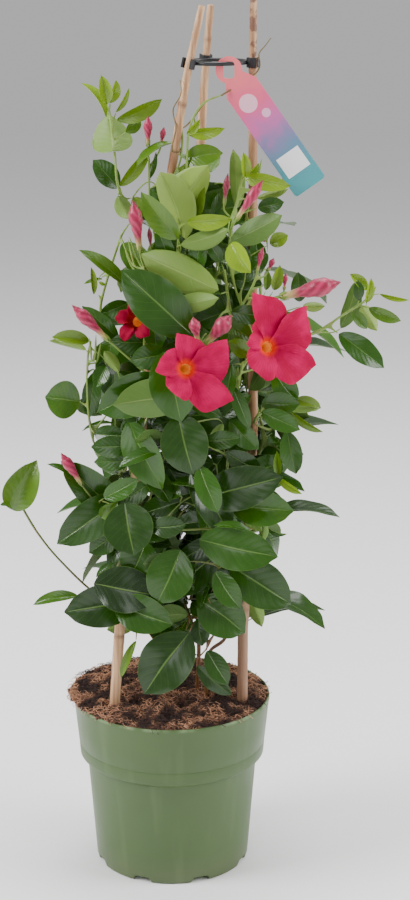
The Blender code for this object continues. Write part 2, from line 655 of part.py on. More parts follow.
def shell_profile():
    """The pot's section: up the outside from the middle of the foot, and down the inside."""
    outside = [
        Vector((0, 0)), Vector((FOOT_RADIUS - 3 * MM, 0)), Vector((FOOT_RADIUS, 3 * MM)), SHOULDER,
        Vector((BAND_FOOT.x - 1.2 * MM, BAND_FOOT.y - 3.4 * MM)), BAND_FOOT,
        Vector((POT_RADIUS, POT_HEIGHT - 1.2 * MM)), Vector((POT_RADIUS - 0.8 * MM, POT_HEIGHT)),
    ]
    inside = [
        Vector((POT_RADIUS - POT_WALL, POT_HEIGHT - 0.6 * MM)),
        Vector((BAND_FOOT.x - POT_WALL, BAND_FOOT.y)),
        Vector((SHOULDER.x - POT_WALL, SHOULDER.y)),
        Vector((FOOT_RADIUS - POT_WALL, 5 * MM)), Vector((FOOT_RADIUS - 5 * MM, POT_FLOOR)),
        Vector((0, POT_FLOOR)),
    ]
    return outside + inside


def turned(name, profile, kind, steps):
    """A profile of (radius, height) points turned about the upright axis."""
    mesh = bpy.data.meshes.new(name)
    verts = [(p.x, 0, p.y) for p in profile]
    mesh.from_pydata(verts, [(i, i + 1) for i in range(len(verts) - 1)], [])
    mesh.materials.append(material_for(kind))
    obj = bpy.data.objects.new(name, mesh)
    collection_for("mandevilla").objects.link(obj)
    screw = obj.modifiers.new("turn", "SCREW")
    screw.steps = steps
    screw.render_steps = steps
    screw.use_merge_vertices = True
    screw.merge_threshold = 0.01 * MM
    screw.use_normal_calculate = True
    made = made_mesh(obj)
    face_outward(made.data)
    return made


def build_pot():
    pot = turned("pot", shell_profile(), "pot", POT_STEPS)
    notches = []
    for i in range(DRAIN_NOTCHES):
        angle = math.tau * (i + 0.5) / DRAIN_NOTCHES
        middle = Vector((math.cos(angle), math.sin(angle), 0)) * FOOT_RADIUS
        bpy.ops.mesh.primitive_cube_add(size=1, location=middle, rotation=(0, 0, angle))
        notch = bpy.context.object
        notch.dimensions = (NOTCH_SIZE[1], NOTCH_SIZE[0], 2 * NOTCH_SIZE[2])
        bpy.context.view_layer.update()
        notches.append(notch)
    pot = joined(pot, notches, "DIFFERENCE")
    pot.data.shade_smooth()
    pot.data.set_sharp_from_angle(angle=math.radians(30))
    return pot


def pot_inside(height):
    """The radius of the pot's inner wall at this height."""
    wall = [(p.y, p.x) for p in shell_profile()[8:12]][::-1]
    for (low, inner), (high, outer) in zip(wall, wall[1:]):
        if height <= high:
            return inner + (outer - inner) * (height - low) / (high - low)
    return wall[-1][1]


def soil_rings(draw):
    """Rings of the soil from the middle of its foot up the wall, over the rim and in to the top."""
    fit = 0.7 * MM
    rings = []
    for height in (6 * MM, SHOULDER.y, BAND_FOOT.y, POT_HEIGHT - 1.4 * MM):
        rings.append([(pot_inside(height) - fit, height)] * SOIL_STEPS)
    brim, spill = [], []
    for i in range(SOIL_STEPS):
        left = max(0.0, -math.cos(math.tau * i / SOIL_STEPS)) ** 2
        brim.append((POT_RADIUS - POT_WALL - fit, POT_HEIGHT + GAP * (1 if left > 0.2 else -4)))
        spill.append((POT_RADIUS - POT_WALL - 1.5 * MM + (SOIL_SPILL + 2 * MM) * left,
                      POT_HEIGHT + (1.8 * MM if left > 0.2 else -0.4 * MM)))
    rings += [brim, spill]
    for share in (0.84, 0.56, 0.26):
        ring = []
        for i in range(SOIL_STEPS):
            angle = math.tau * i / SOIL_STEPS
            back = 0.5 + 0.25 * math.sin(angle) - 0.25 * math.cos(angle)
            rise = SOIL_MOUND * (0.25 + back) * (1 - share ** 2)
            lump = draw.uniform(-1, 1) * SOIL_LUMP
            ring.append((POT_RADIUS * share, POT_HEIGHT + 1 * MM + rise + lump))
        rings.append(ring)
    return rings


def build_soil(stems):
    draw = random.Random(11)
    rings = soil_rings(draw)
    verts = []
    for ring in rings:
        for i, (radius, height) in enumerate(ring):
            angle = math.tau * i / SOIL_STEPS
            verts.append(Vector((radius * math.cos(angle), radius * math.sin(angle), height)))
    top = verts[-SOIL_STEPS:]
    verts.append(sum(top, Vector()) / SOIL_STEPS)
    faces = [tuple(reversed(range(SOIL_STEPS)))]
    for r in range(len(rings) - 1):
        for i in range(SOIL_STEPS):
            j = (i + 1) % SOIL_STEPS
            a, b = r * SOIL_STEPS + i, r * SOIL_STEPS + j
            faces.append((a, b, b + SOIL_STEPS, a + SOIL_STEPS))
    last = (len(rings) - 1) * SOIL_STEPS
    faces += [(last + i, last + (i + 1) % SOIL_STEPS, len(verts) - 1) for i in range(SOIL_STEPS)]
    soil = mesh_object("soil", verts, faces, "soil")
    holes = [rod("hole", path, [r + 1.5 * GAP for r in radii], "soil", sides)
             for path, radii, sides in stems]
    return joined(soil, holes, "DIFFERENCE")


def cane_radius(height):
    low = CANE_WIDTHS[0]
    for high in CANE_WIDTHS[1:]:
        if height <= high[0] * MM:
            share = max(0.0, (height / MM - low[0]) / (high[0] - low[0]))
            return (low[1] + (high[1] - low[1]) * share) * MM
        low = high
    return low[1] * MM


def cane_path(name):
    points = [sight_point(*sight) for sight in CANES[name]]
    foot = Vector((*points[0].xy * CANE_FOOT_DRAWN_IN, CANE_FOOT))
    return [foot] + points


def at_height(path, height):
    """The point of an upward path at this height."""
    for low, high in zip(path, path[1:]):
        if height <= high.z:
            return low.lerp(high, (height - low.z) / (high.z - low.z))
    return path[-1].copy()


def build_canes():
    canes = {}
    for name in CANES:
        path = cane_path(name)
        path = [path[0]] + smooth_way(path[1:], 1)
        canes[name] = (path, [cane_radius(p.z) for p in path])
        rod(name, path, canes[name][1], "cane", sides=2)
    return canes


def clip_mesh(name, middle, axis, outward, inner, height):
    """A snap clip: a C round a cane, along it, its mouth turned outward and its lips flared."""
    count = 7
    sweep = math.tau - CLIP_MOUTH
    inner = inner / math.cos(sweep / count / 2)
    side = axis.cross(outward).normalized()
    front = side.cross(axis)
    verts = []
    for z in (-height / 2, height / 2):
        for i in range(count + 1):
            angle = CLIP_MOUTH / 2 + sweep * i / count
            way = front * math.cos(angle) + side * math.sin(angle)
            flare = 1.2 * MM if i in (0, count) else 0.0
            for radius in (inner, inner + CLIP_WALL):
                verts.append(middle + way * (radius + flare) + axis * z)
    faces = []
    up = 2 * (count + 1)
    for i in range(count):
        a, b, c, d = 2 * i, 2 * i + 1, 2 * i + 2, 2 * i + 3
        faces += [(a, c, d, b), (a + up, b + up, d + up, c + up),
                  (b, d, d + up, b + up), (c, a, a + up, c + up)]
    faces += [(0, 1, 1 + up, up), (up - 1, up - 2, 2 * up - 2, 2 * up - 1)]
    return mesh_object(name, verts, faces, "ring", smooth=False)


def circle_middle(a, b, c):
    """The middle of the level circle through three points."""
    rows = Matrix(((b.x - a.x, b.y - a.y), (c.x - a.x, c.y - a.y)))
    sums = Vector((b.xy.length_squared - a.xy.length_squared, c.xy.length_squared - a.xy.length_squared))
    middle = rows.inverted() @ (sums / 2)
    return Vector((middle.x, middle.y, a.z))


def build_ring(name, height, clip_height, canes, segments):
    """A ring just inside the canes at this height. Returns the middle and radius of its bar."""
    points = [at_height(canes[cane][0], height) for cane in CANES]
    middle = circle_middle(*points)
    fit = cane_radius(height) + GAP
    radius = (points[0] - middle).length - fit - RING_BAR - 0.2 * MM
    bpy.ops.mesh.primitive_torus_add(
        major_segments=segments, minor_segments=5, major_radius=radius, minor_radius=RING_BAR,
        location=middle)
    ring = bpy.context.object
    ring.name = name
    ring.data.materials.append(material_for("ring"))
    for home in list(ring.users_collection):
        home.objects.unlink(ring)
    collection_for("mandevilla").objects.link(ring)
    clips = []
    for point, cane in zip(points, CANES):
        above = at_height(canes[cane][0], height + 10 * MM)
        axis = (above - point).normalized()
        clips.append(clip_mesh("clip", point, axis, point - middle, fit, clip_height))
    return joined(made_mesh(ring), clips), middle, radius


def arc(middle, radius, start, end, count):
    return [middle + Vector((math.cos(a), math.sin(a))) * radius
            for a in (start + (end - start) * i / count for i in range(count + 1))]


def tag_outline():
    """The tag's edge in its own plane, its eye at the origin and its strip along +X."""
    half = TAG_WIDTH / 2
    shoulder = 17 * MM
    corner = 2.5 * MM
    head = arc(Vector((0, 0)), TAG_HEAD, math.radians(50), math.radians(310), 10)
    lower = [Vector((shoulder, -half))]
    far = arc(Vector((TAG_LENGTH - corner, -half + corner)), corner, -math.pi / 2, 0, 2)
    near = arc(Vector((TAG_LENGTH - corner, half - corner)), corner, 0, math.pi / 2, 2)
    return head + lower + far + near + [Vector((shoulder, half))]


def build_tag(ring_middle, ring_radius):
    """The tag hangs by the upper edge of its eye on the front of the ring's bar."""
    turn = math.radians(294)
    bar = ring_middle + Vector((math.cos(turn), math.sin(turn), 0)) * ring_radius
    tangent = turn + math.pi / 2 + TAG_TURN
    across = Vector((math.cos(tangent), math.sin(tangent), 0))
    face = across.cross(Vector((0, 0, 1)))
    eye_drop = TAG_EYE[1] - RING_BAR - GAP
    middle = bar - Vector((0, 0, eye_drop))
    curve = bpy.data.curves.new("tag", "CURVE")
    curve.dimensions = "2D"
    curve.fill_mode = "BOTH"
    curve.extrude = TAG_THICK / 2
    cos, sin = math.cos(TAG_DROOP), math.sin(TAG_DROOP)
    strip = [Vector((p.x * cos - p.y * sin, p.x * sin + p.y * cos)) for p in tag_outline()]
    round_off = 2.4 * MM
    across_eye, down_eye = TAG_EYE[0] - round_off, TAG_EYE[1] - round_off
    corners = ((across_eye, down_eye), (-across_eye, down_eye), (-across_eye, -down_eye),
               (across_eye, -down_eye))
    eye = [point for i, corner in enumerate(corners)
           for point in arc(Vector(corner), round_off, i * math.pi / 2, (i + 1) * math.pi / 2, 2)]
    for outline in (strip, eye):
        spline = curve.splines.new("POLY")
        spline.points.add(len(outline) - 1)
        for point, place in zip(spline.points, outline):
            point.co = (place.x, place.y, 0, 1)
        spline.use_cyclic_u = True
    curve.materials.append(material_for("tag"))
    tag = bpy.data.objects.new("tag", curve)
    collection_for("mandevilla").objects.link(tag)
    tag.matrix_world = Matrix((
        (across.x, 0, face.x, middle.x), (across.y, 0, face.y, middle.y),
        (across.z, 1, face.z, middle.z), (0, 0, 0, 1)))
    bpy.context.view_layer.update()
    return made_mesh(tag)


def vine_path(vine, canes):
    """Up out of the soil, along its own way, and then round its cane."""
    root = Vector((vine.root[0], vine.root[1], 0)) * MM
    path = [root + Vector((0, 0, 126 * MM)), root + Vector((0, 0, 150 * MM))]
    path += smooth_way([root + Vector((0, 0, 164 * MM))] + [sight_point(*s) for s in vine.way])
    if not vine.cane:
        return path
    return path + twine(path[-1], canes[vine.cane][0], math.radians(OUTWARD[vine.cane]), vine.top * MM)


def twine(start, cane, outward, top):
    """Round the cane from the start's own side of it, passing the ring on the outward side."""
    gap = start - at_height(cane, start.z)
    first = math.atan2(gap.y, gap.x)
    climb = MID_RING_HEIGHT - start.z
    turns = round(climb / TWINE_PITCH - (outward - first) / math.tau)
    rate = (outward - first + turns * math.tau) / climb
    steps = round(climb / TWINE_STEP)
    points = []
    height = start.z
    while height < top:
        height += climb / steps
        turn = first + rate * (height - start.z)
        by_ring = math.exp(-((height - MID_RING_HEIGHT) / (16 * MM)) ** 2)
        settle = math.exp(-((height - start.z) / (20 * MM)) ** 2)
        out = cane_radius(height) + VINE_RADIUS[0] + 1.4 * MM + 3 * MM * max(by_ring, settle)
        points.append(at_height(cane, height) + Vector((math.cos(turn), math.sin(turn), 0)) * out)
    return points


def outline_share(t):
    """The half breadth of a leaf along its length, as a share of its widest."""
    body = math.sin(math.pi * min(1.0, t) ** 0.85) ** 0.75 if 0 < t < 1 else 0.0
    return body * (1.06 - 0.2 * t)


def ring_points(middle, side, normal, half, fold, thick):
    """Six points round a blade: over the left edge, midrib and right edge, and back below."""
    lift = normal * (half * math.sin(fold))
    out = side * (half * math.cos(fold))
    up = normal * (thick / 2)
    left, right = middle - out + lift, middle + out + lift
    return [left + up, middle + up, right + up, right - up, middle - up, left - up]


def blade_shape(start, base, tip, width, normal, young, grow=0.0):
    """A leaf and its three-sided stalk as one closed loft. Grow swells it, to test for room."""
    length = (tip - base).length
    axis = (tip - base) / length
    side = axis.cross(normal).normalized()
    fold = math.radians(12 + 26 * young)
    arch = (0.07 + 0.05 * young) * length
    bend = base - axis * (0.4 * (base - start).length)
    stalk = [(start, bend - start), (base, axis)]
    if (base - start).length > 14 * MM:
        stalk.insert(1, ((start + 2 * bend + base) / 4, base - start))
    verts = []
    for place, way in stalk:
        turn = axis.rotation_difference(way.normalized())
        verts += stalk_points(place, turn @ side, turn @ normal, 1 + grow / (2 * STALK_WIDE))
    for t in blade_stations(length, width):
        middle = base + axis * (length * t) + normal * (arch * 4 * t * (1 - t))
        half = max(STALK_WIDE, outline_share(t) * width / 2) + grow / 2
        verts += ring_points(middle, side, normal, half, fold, BLADE + grow)
    verts.append(tip + axis * grow / 2)
    return verts, blade_faces(len(stalk), len(verts))


def blade_stations(length, width):
    """Where along its length a blade has a section: the more, the larger it is."""
    if width > 30 * MM:
        return (0.2, 0.5, 0.83)
    return (0.3, 0.73) if length > 13 * MM else (0.45,)


def stalk_points(middle, side, up, swell):
    """Three points round a stalk: left and right above, and below."""
    out, rise = side * (STALK_WIDE * swell), up * (STALK_THICK * swell)
    return [middle - out + rise, middle + out + rise, middle - rise * 1.4]


def blade_faces(stalks, total):
    faces = [(0, 1, 2)]
    for a in range(0, 3 * (stalks - 1), 3):
        for i in range(3):
            j = (i + 1) % 3
            faces += [(a + i, a + j, a + 3 + i), (a + j, a + 3 + j, a + 3 + i)]
    a, b = 3 * (stalks - 1), 3 * stalks
    faces += [(a, b, b + 1), (a, b + 1, a + 1), (a + 1, b + 1, b + 2), (a + 1, b + 2, b + 3),
              (a + 1, b + 3, a + 2), (a + 2, b + 3, b + 4), (a + 2, b + 4, b + 5), (a + 2, b + 5, a),
              (a, b + 5, b)]
    for a in range(b, total - 7, 6):
        b = a + 6
        faces += [
            (a + 1, a, b), (a + 1, b, b + 1), (a + 1, b + 1, b + 2), (a + 1, b + 2, a + 2),
            (a + 4, b + 5, a + 5), (a + 4, b + 4, b + 5), (a + 4, b + 3, b + 4), (a + 4, a + 3, b + 3),
            (a + 3, a + 2, b + 2), (a + 3, b + 2, b + 3), (a, a + 5, b + 5), (a, b + 5, b),
        ]
    last = total - 7
    faces += [(last + (k + 1) % 6, last + k, total - 1) for k in range(6)]
    return faces


def facing_eye(base, tip, roll):
    axis = (tip - base).normalized()
    to_eye = (EYE - base).normalized()
    normal = (to_eye - axis * to_eye.dot(axis)).normalized()
    return Matrix.Rotation(math.radians(roll), 3, axis) @ normal


def nearest_on(path, point):
    """The place on a path nearest to the point, as a length along it."""
    best, best_gap, walked = 0.0, math.inf, 0.0
    for start, end in zip(path, path[1:]):
        run = end - start
        share = max(0.0, min(1.0, (point - start).dot(run) / run.length_squared))
        gap = (start + run * share - point).length
        if gap < best_gap:
            best, best_gap = walked + share * run.length, gap
        walked += run.length
    return best


def point_on(path, length):
    for start, end in zip(path, path[1:]):
        run = (end - start).length
        if length <= run:
            return start.lerp(end, max(0.0, length) / run)
        length -= run
    return path[-1].copy()


def leaf_tries():
    """The leaf as set out, then moved along the line of sight and rolled a little."""
    for roll in (0, 12, -12, 26, -26):
        for shift in (0, 4, -4, 8, -8, 12, -12, 17, -16, 23, -20, 30, 38):
            yield roll, shift


def fit_leaf(leaf, stem, owner, others, own=True):
    """The first way of placing a hand-set leaf that leaves room round it."""
    for roll, shift in leaf_tries():
        base = sight_point(*leaf.base, leaf.depth + shift)
        tip = sight_point(*leaf.tip, leaf.depth + leaf.lean + shift)
        turn = leaf.roll + roll
        seen = seen_size(leaf.breadth, base)
        width = min(seen / max(0.35, abs(math.cos(math.radians(turn)))), 1.1 * (tip - base).length)
        normal = facing_eye(base, tip, turn)
        for start in starts_for(base, tip, stem):
            if room_for(start, base, tip, width, normal, leaf.young, owner, others, own):
                return start, base, tip, width, normal, leaf.young
    return fit_leaf(leaf, stem, owner, others, own=False) if own else None


def starts_for(base, tip, stem):
    """Places on the stem for a leaf's stalk, those that come in from behind the blade first."""
    reach = nearest_on(stem, base)
    gap = (point_on(stem, reach) - base).length
    shares = (-2, -1.2, -0.7, -0.3, 0, 0.4, 0.9, 1.6)
    places = [point_on(stem, max(3 * MM, reach + share * gap)) for share in shares]
    places = [p for p in places if (base - p).length > 2.5 * MM] or places[:1]
    places.sort(key=lambda p: (base - p).angle(tip - base) + 0.4 * (base - p).length / (gap + MM))
    return places[:4]


def room_for(start, base, tip, width, normal, young, owner, others, own=True):
    if (base - start).angle(tip - base) > SHARPEST_BEND:
        return False
    verts, faces = blade_shape(start, base, tip, width, normal, young, grow=2.4 * GAP)
    shape = placed_shape(verts, faces, owner, "leaf")
    if shape.low.z < POT_HEIGHT + 4 * MM:
        return False
    if not own:
        return not crosses(shape, [o for o in others if o.owner != owner])
    if crosses(shape, [o for o in others if not (o.owner == owner and o.part == "stem")]):
        return False
    first = len(verts) - 1 - 6 * len(blade_stations((tip - base).length, width))
    blade = placed_shape(verts, [f for f in faces if min(f) >= first], owner, "leaf")
    return not crosses(blade, [o for o in others if o.owner == owner and o.part == "stem"])


def back_leaves(name, vine, path):
    """Pairs of leaves up a vine's far side, as (start, base, tip, width, normal, young) tries."""
    draw = random.Random(name)
    middle = [Vector((9 + 0.048 * z, 0, z)) * MM for z in (150, 750)]
    height = 205 * MM
    turn = draw.uniform(0, 1)
    while height < (vine.top - 10) * MM:
        node = point_on(path, nearest_on(path, at_height(path, height)))
        axis = at_height(middle, node.z)
        for half in (0, 1):
            turn = (turn + 0.618) % 1
            heading = math.radians(vine.back_from + (vine.back_to - vine.back_from) * turn)
            yield node, axis, heading, draw.uniform(-55, 8), draw.uniform(46, 68), draw.uniform(0, 0.35)
        height += draw.uniform(30, 38) * MM


def fit_back_leaf(node, axis, heading, lift, length, young, owner, others):
    for shift in (0, 14, -14, 28, -28, 42, -42):
        for tilt in (0, -16, 16, 30):
            for shrink in (1.0, 0.85, 0.7):
                turn, rise = heading + math.radians(shift), math.radians(lift + tilt)
                level = Vector((math.cos(turn), math.sin(turn), 0))
                way = level * math.cos(rise) + Vector((0, 0, math.sin(rise)))
                spread = 62 * MM - 34 * MM * max(0.0, (node.z - 0.45) / 0.25)
                foot = Vector((axis.x, axis.y, node.z + 12 * MM)) + level * max(spread, 20 * MM)
                base = node.lerp(foot, 0.8) if (foot - node).length > 8 * MM else foot
                tip = base + way * (length * shrink * MM)
                normal = (Vector((0, 0, 1)) * 0.6 + level * 0.8)
                normal = (normal - way * normal.dot(way)).normalized()
                width = 0.52 * length * shrink * MM
                if room_for(node, base, tip, width, normal, young, owner, others):
                    return node, base, tip, width, normal, young
    return None


def body_cells():
    """Sight lines over the leafy body, as places across and down the view."""
    cells = []
    for (top, left, right), (foot, left_foot, right_foot) in zip(BODY, BODY[1:]):
        down = top
        while down < foot:
            share = (down - top) / (foot - top)
            across = left + (left_foot - left) * share
            while across < right + (right_foot - right) * share:
                cells.append((across, down))
                across += BODY_STEP
            down += BODY_STEP
    return cells


def as_one(shapes):
    """One search tree over all these shapes."""
    verts, faces = [], []
    for shape in shapes:
        faces += [tuple(i + len(verts) for i in face) for face in shape.faces]
        verts += shape.verts
    return BVHTree.FromPolygons(verts, faces)


def seen_through(cells, foliage, canes):
    """The sight lines that no leaf or flower stops in front of the canes."""
    return [cell for cell in cells
            if not hit_before(foliage, cell, (canes.ray_cast(EYE, sight_way(cell))[3] or math.inf))]


def sight_way(cell):
    return (sight_point(*cell, 0) - EYE).normalized()


def hit_before(tree, cell, distance):
    hit = tree.ray_cast(EYE, sight_way(cell))[3]
    return hit is not None and hit < distance


def fill_leaf(cell, draw, stems, others):
    """A leaf drawn across this sight line, from the nearest stem that leaves it room."""
    for depth in draw.sample((-62, -52, -44, -36, -28, -20, -12, -4, 6, 16), 7):
        middle = sight_point(*cell, depth)
        slant = math.radians(draw.uniform(-105, 105))
        way = Vector((math.sin(slant), draw.uniform(-0.35, 0.2), -math.cos(slant))).normalized()
        length = draw.uniform(27, 40) * MM
        base, tip = middle - way * length / 2, middle + way * length / 2
        normal = facing_eye(base, tip, draw.uniform(-28, 28))
        near = sorted(stems, key=lambda item: (point_on(item[1], nearest_on(item[1], base)) - base).length)
        for name, stem in near[:3]:
            for start in starts_for(base, tip, stem)[:2]:
                fitted = start, base, tip, 0.56 * length, normal, draw.uniform(0, 0.2)
                if (start - base).length < 42 * MM and room_for(*fitted, name, others):
                    return name, fitted
    return None


def fill_body(stems, others, canes):
    """Leaves that close the leafy body, as (stem's name, leaf) pairs."""
    draw = random.Random(5)
    foliage = as_one([o for o in others if o.part in ("leaf", "bloom", "bud")])
    open_cells = seen_through(body_cells(), foliage, canes)
    draw.shuffle(open_cells)
    found = []
    while open_cells and len(found) < FILL_LEAVES:
        made = fill_leaf(open_cells.pop(), draw, stems, others)
        if not made:
            continue
        name, fitted = made
        found.append(made)
        others.append(placed_shape(*blade_shape(*fitted), name, "leaf"))
        open_cells = seen_through(open_cells, others[-1].tree, canes)
    return found


def spindle_shape(base, tip, width, sides, grow=0.0):
    """A twisted bud: a narrow tube, a swelling past its middle, and a fine point."""
    axis = (tip - base).normalized()
    side = axis.orthogonal().normalized()
    length = (tip - base).length
    foot = max(0.9 * MM, 0.2 * width)
    profile = ((0, foot), (0.34, max(foot, 0.26 * width)), (0.64, 0.5 * width), (0.86, 0.28 * width))
    verts = []
    for t, radius in profile:
        for i in range(sides):
            turn = Matrix.Rotation(math.tau * (i / sides + 0.2 * t), 3, axis) @ side
            verts.append(base + axis * (length * t) + turn * (radius + grow))
    verts.append(tip + axis * grow)
    faces = [tuple(reversed(range(sides)))]
    for r in range(len(profile) - 1):
        for i in range(sides):
            a, b = r * sides + i, r * sides + (i + 1) % sides
            faces.append((a, b, b + sides, a + sides))
    last = (len(profile) - 1) * sides
    faces += [(last + i, last + (i + 1) % sides, len(verts) - 1) for i in range(sides)]
    return verts, faces


def fit_stalk(base, axis, stem, owner, others):
    """A bud's or bloom's stalk: it leaves the stem and comes in along the bud's own axis."""
    reach = nearest_on(stem, base)
    gap = (point_on(stem, reach) - base).length
    for share in (-0.5, -0.2, -0.9, -1.4, 0, 0.5, 1, -2):
        start = point_on(stem, max(3 * MM, reach + share * gap))
        long = (base - start).length
        bend = base - axis * (0.45 * long)
        path = [start, (start + bend * 2 + base) / 4, base - axis * min(3 * MM, 0.2 * long), base]
        if not too_near(path[:3], BUD_STALK, [o for o in others if o.owner != owner]):
            return path
    return None


def fit_bud(bud, stem, owner, others):
    """Where the bud goes, and its stalk's path."""
    for shift in (0, 4, -4, 8, -8, 12, -12, 18, 24, 30):
        base = sight_point(*bud.base, bud.depth + shift)
        tip = sight_point(*bud.tip, bud.depth + shift)
        axis = (tip - base).normalized()
        width = seen_size(bud.breadth, base)
        verts, faces = spindle_shape(base + axis * GAP, tip, width, 5, grow=1.2 * GAP)
        shape = placed_shape(verts, faces, bud, "bud")
        if crosses(shape, others):
            continue
        path = fit_stalk(base, axis, stem, owner, others)
        if path:
            return base, tip, width, path
    return None


def corolla_columns(petals, edge):
    """Columns from notch to notch of each petal: angle, share of the reach, lift, reach."""
    order = sorted(petals)
    columns = []
    for i, (angle, reach) in enumerate(order):
        before = order[i - 1][0] - (360 if i == 0 else 0)
        after = order[(i + 1) % 5][0] + (360 if i == 4 else 0)
        start = before + 0.34 * (angle - before)
        end = angle + 0.34 * (after - angle)
        for place, share, lift in edge:
            columns.append((start + (end - start) * place, share, lift, reach))
    return columns


def corolla_shape(bloom):
    """A bloom facing +Z with its throat at the origin: star-edged petals on a closed tube."""
    columns = corolla_columns(bloom.petals, PLAIN_EDGE if bloom.hidden else PETAL_EDGE)
    count = len(columns)
    rings = []
    for share, height in ((0.0, -7.0), (0.55, 1.5), (1.0, 2.5)):
        ring = []
        for angle, rim, lift, reach in columns:
            ring.append((angle, max(4.2, reach * rim * share), height + lift * reach * share))
        rings.append(ring)
    under = [[(a, r, h - PETAL / MM) for a, r, h in ring] for ring in rings[:0:-1]]
    tube = [[(a, radius, height) for a, _, _ in rings[0]]
            for radius, height in ((5.4, -8.2), (2.6, -19.0), (1.6, -BLOOM_TUBE / MM + 0.3))]
    verts = [Vector((0, 0, -13 * MM))]
    for ring in rings + under + tube:
        for angle, radius, height in ring:
            turn = math.radians(angle)
            verts.append(Vector((radius * math.cos(turn), radius * math.sin(turn), height)) * MM)
    faces = [(0, 1 + i, 1 + (i + 1) % count) for i in range(count)]
    total = len(rings + under + tube)
    for r in range(total - 1):
        for i in range(count):
            a, b = 1 + r * count + i, 1 + r * count + (i + 1) % count
            faces += [(a, a + count, b + count), (a, b + count, b)]
    last = 1 + (total - 1) * count
    faces.append(tuple(reversed(range(last, last + count))))
    return verts, faces


def bloom_frame(bloom, throat):
    """The bloom's own axes as columns: its right, its up and the way that it faces."""
    to_eye = (EYE - throat).normalized()
    right = Vector((0, 0, 1)).cross(to_eye).normalized()
    up = to_eye.cross(right)
    turn = Matrix.Rotation(math.radians(bloom.turn), 3, up)
    lift = Matrix.Rotation(math.radians(-bloom.lift), 3, right)
    return Matrix((turn @ lift @ right, turn @ lift @ up, turn @ lift @ to_eye)).transposed()


def build_bloom(name, bloom, others):
    """The bloom, moved along the line of sight until it has room, its foot and its axis."""
    shape, faces = corolla_shape(bloom)
    for shift in (0, -5, 5, -10, 10, -15, 15, -20, -25, -30, -35):
        throat = sight_point(bloom.across, bloom.down, bloom.depth + shift)
        frame = bloom_frame(bloom, throat)
        verts = [frame @ v + throat for v in shape]
        made = placed_shape(verts, faces, name, "bloom")
        if not crosses(made, others):
            break
    others.append(made)
    mesh_object(name, verts, faces, "bloom")
    return throat + frame @ Vector((0, 0, -BLOOM_TUBE)), frame @ Vector((0, 0, 1))


def seats_on(vine, target):
    """Places on the vine for a shoot towards the target, the best first: point, way out, length."""
    path, cane = vine
    seats = []
    for length in range(0, 900, 6):
        point = point_on(path, length * MM)
        if point.z < 185 * MM or (seats and point == seats[-1][1]):
            continue
        gap = target - point
        ahead = (point_on(path, (length + 4) * MM) - point_on(path, (length - 4) * MM)).normalized()
        out = point - at_height(cane, point.z) if cane else gap
        out = (out - ahead * out.dot(ahead)).normalized()
        cost = gap.length * (1.6 - out.dot(gap.normalized())) + 0.4 * max(0.0, point.z - target.z)
        seats.append((cost, point, out, length * MM))
    seats.sort(key=lambda seat: seat[0])
    return [seat[1:] for seat in seats[:10]]


def fit_stem(name, shoot, vine, others):
    """The shoot's own stem, from its seat on the vine, bent clear of what is there."""
    draw = random.Random(name)
    way = [sight_point(*sight) for sight in shoot.way]
    total = sum((b - a).length for a, b in zip(vine[0], vine[0][1:]))
    seats = seats_on(vine, way[0])
    for attempt in range(400):
        point, out, length = seats[attempt % len(seats)]
        radius = VINE_RADIUS[0] + (VINE_RADIUS[1] - VINE_RADIUS[0]) * min(1.0, length / total)
        seat = point + out * (radius + GAP)
        sway = 0.1 * MM * attempt
        bent = [p + Vector((draw.uniform(-0.3, 0.3), draw.uniform(-1, 1), draw.uniform(-0.3, 0.3))) * sway
                for p in way[:-1]] + [way[-1]]
        path = [seat, seat + out * 4 * MM] + smooth_way(bent, 1)
        if not too_near(path, STEM_RADIUS[0], others, shoot.vine, 2.6 * MM):
            break
    return path


def build_shoot(name, shoot, path, blooms, others):
    """The stem with its stalks and leaves joined to it. Its buds are left as objects of their own."""
    stem = rod(name, path, tapered(path, STEM_RADIUS), "shoot", 0)
    pieces = []
    mine = []
    for foot, axis in blooms:
        stalk = fit_stalk(foot, axis, path, name, others)
        pieces.append(rod("stalk", stalk, tapered(stalk, (1.1 * MM, 1.5 * MM)), "shoot", 0))
        mine.append(placed(pieces[-1], name, "stalk"))
    for bud in shoot.buds:
        base, tip, width, stalk = fit_bud(bud, path, name, others + mine)
        axis = (tip - base).normalized()
        verts, faces = spindle_shape(base + axis * GAP, tip, width, 5)
        made = mesh_object(bud.name, verts, faces, "bud")
        others.append(placed(made, bud.name, "bud"))
        pieces.append(rod("stalk", stalk, tapered(stalk, (BUD_STALK, 1.2 * MM)), "shoot", 0))
        mine.append(placed(pieces[-1], name, "stalk"))
    for spike in shoot.spikes:
        base, tip = sight_point(*spike.base, spike.depth), sight_point(*spike.tip, spike.depth)
        start = point_on(path, nearest_on(path, base))
        run = [start, base, base.lerp(tip, 0.5), tip]
        swell = 0.5 * seen_size(spike.breadth, base)
        pieces.append(rod("spike", run, [0.7 * MM, 0.8 * MM, swell, 0.3 * MM], "shoot", 0))
        mine.append(placed(pieces[-1], name, "spike"))
    others += mine
    return stem, pieces


def leaf_object(fitted, owner, others):
    verts, faces = blade_shape(*fitted)
    others.append(placed_shape(verts, faces, owner, "leaf"))
    return mesh_object("leaf", verts, faces, "shoot")


def thinned(mesh):
    """Joins neighbouring faces that lie nearly in one plane, as the Boolean leaves many."""
    form = bmesh.new()
    form.from_mesh(mesh)
    bmesh.ops.dissolve_limit(form, angle_limit=math.radians(4), verts=form.verts, edges=form.edges)
    form.to_mesh(mesh)
    form.free()


def build_stems(canes, others):
    """The vines' own stems, as objects and paths."""
    paths = {name: vine_path(vine, canes) for name, vine in VINES.items()}
    stems = {}
    for name, path in paths.items():
        stems[name] = rod(name, path, tapered(path, VINE_RADIUS), "vine", 0)
        others.append(placed(stems[name], name, "stem"))
    return stems, paths


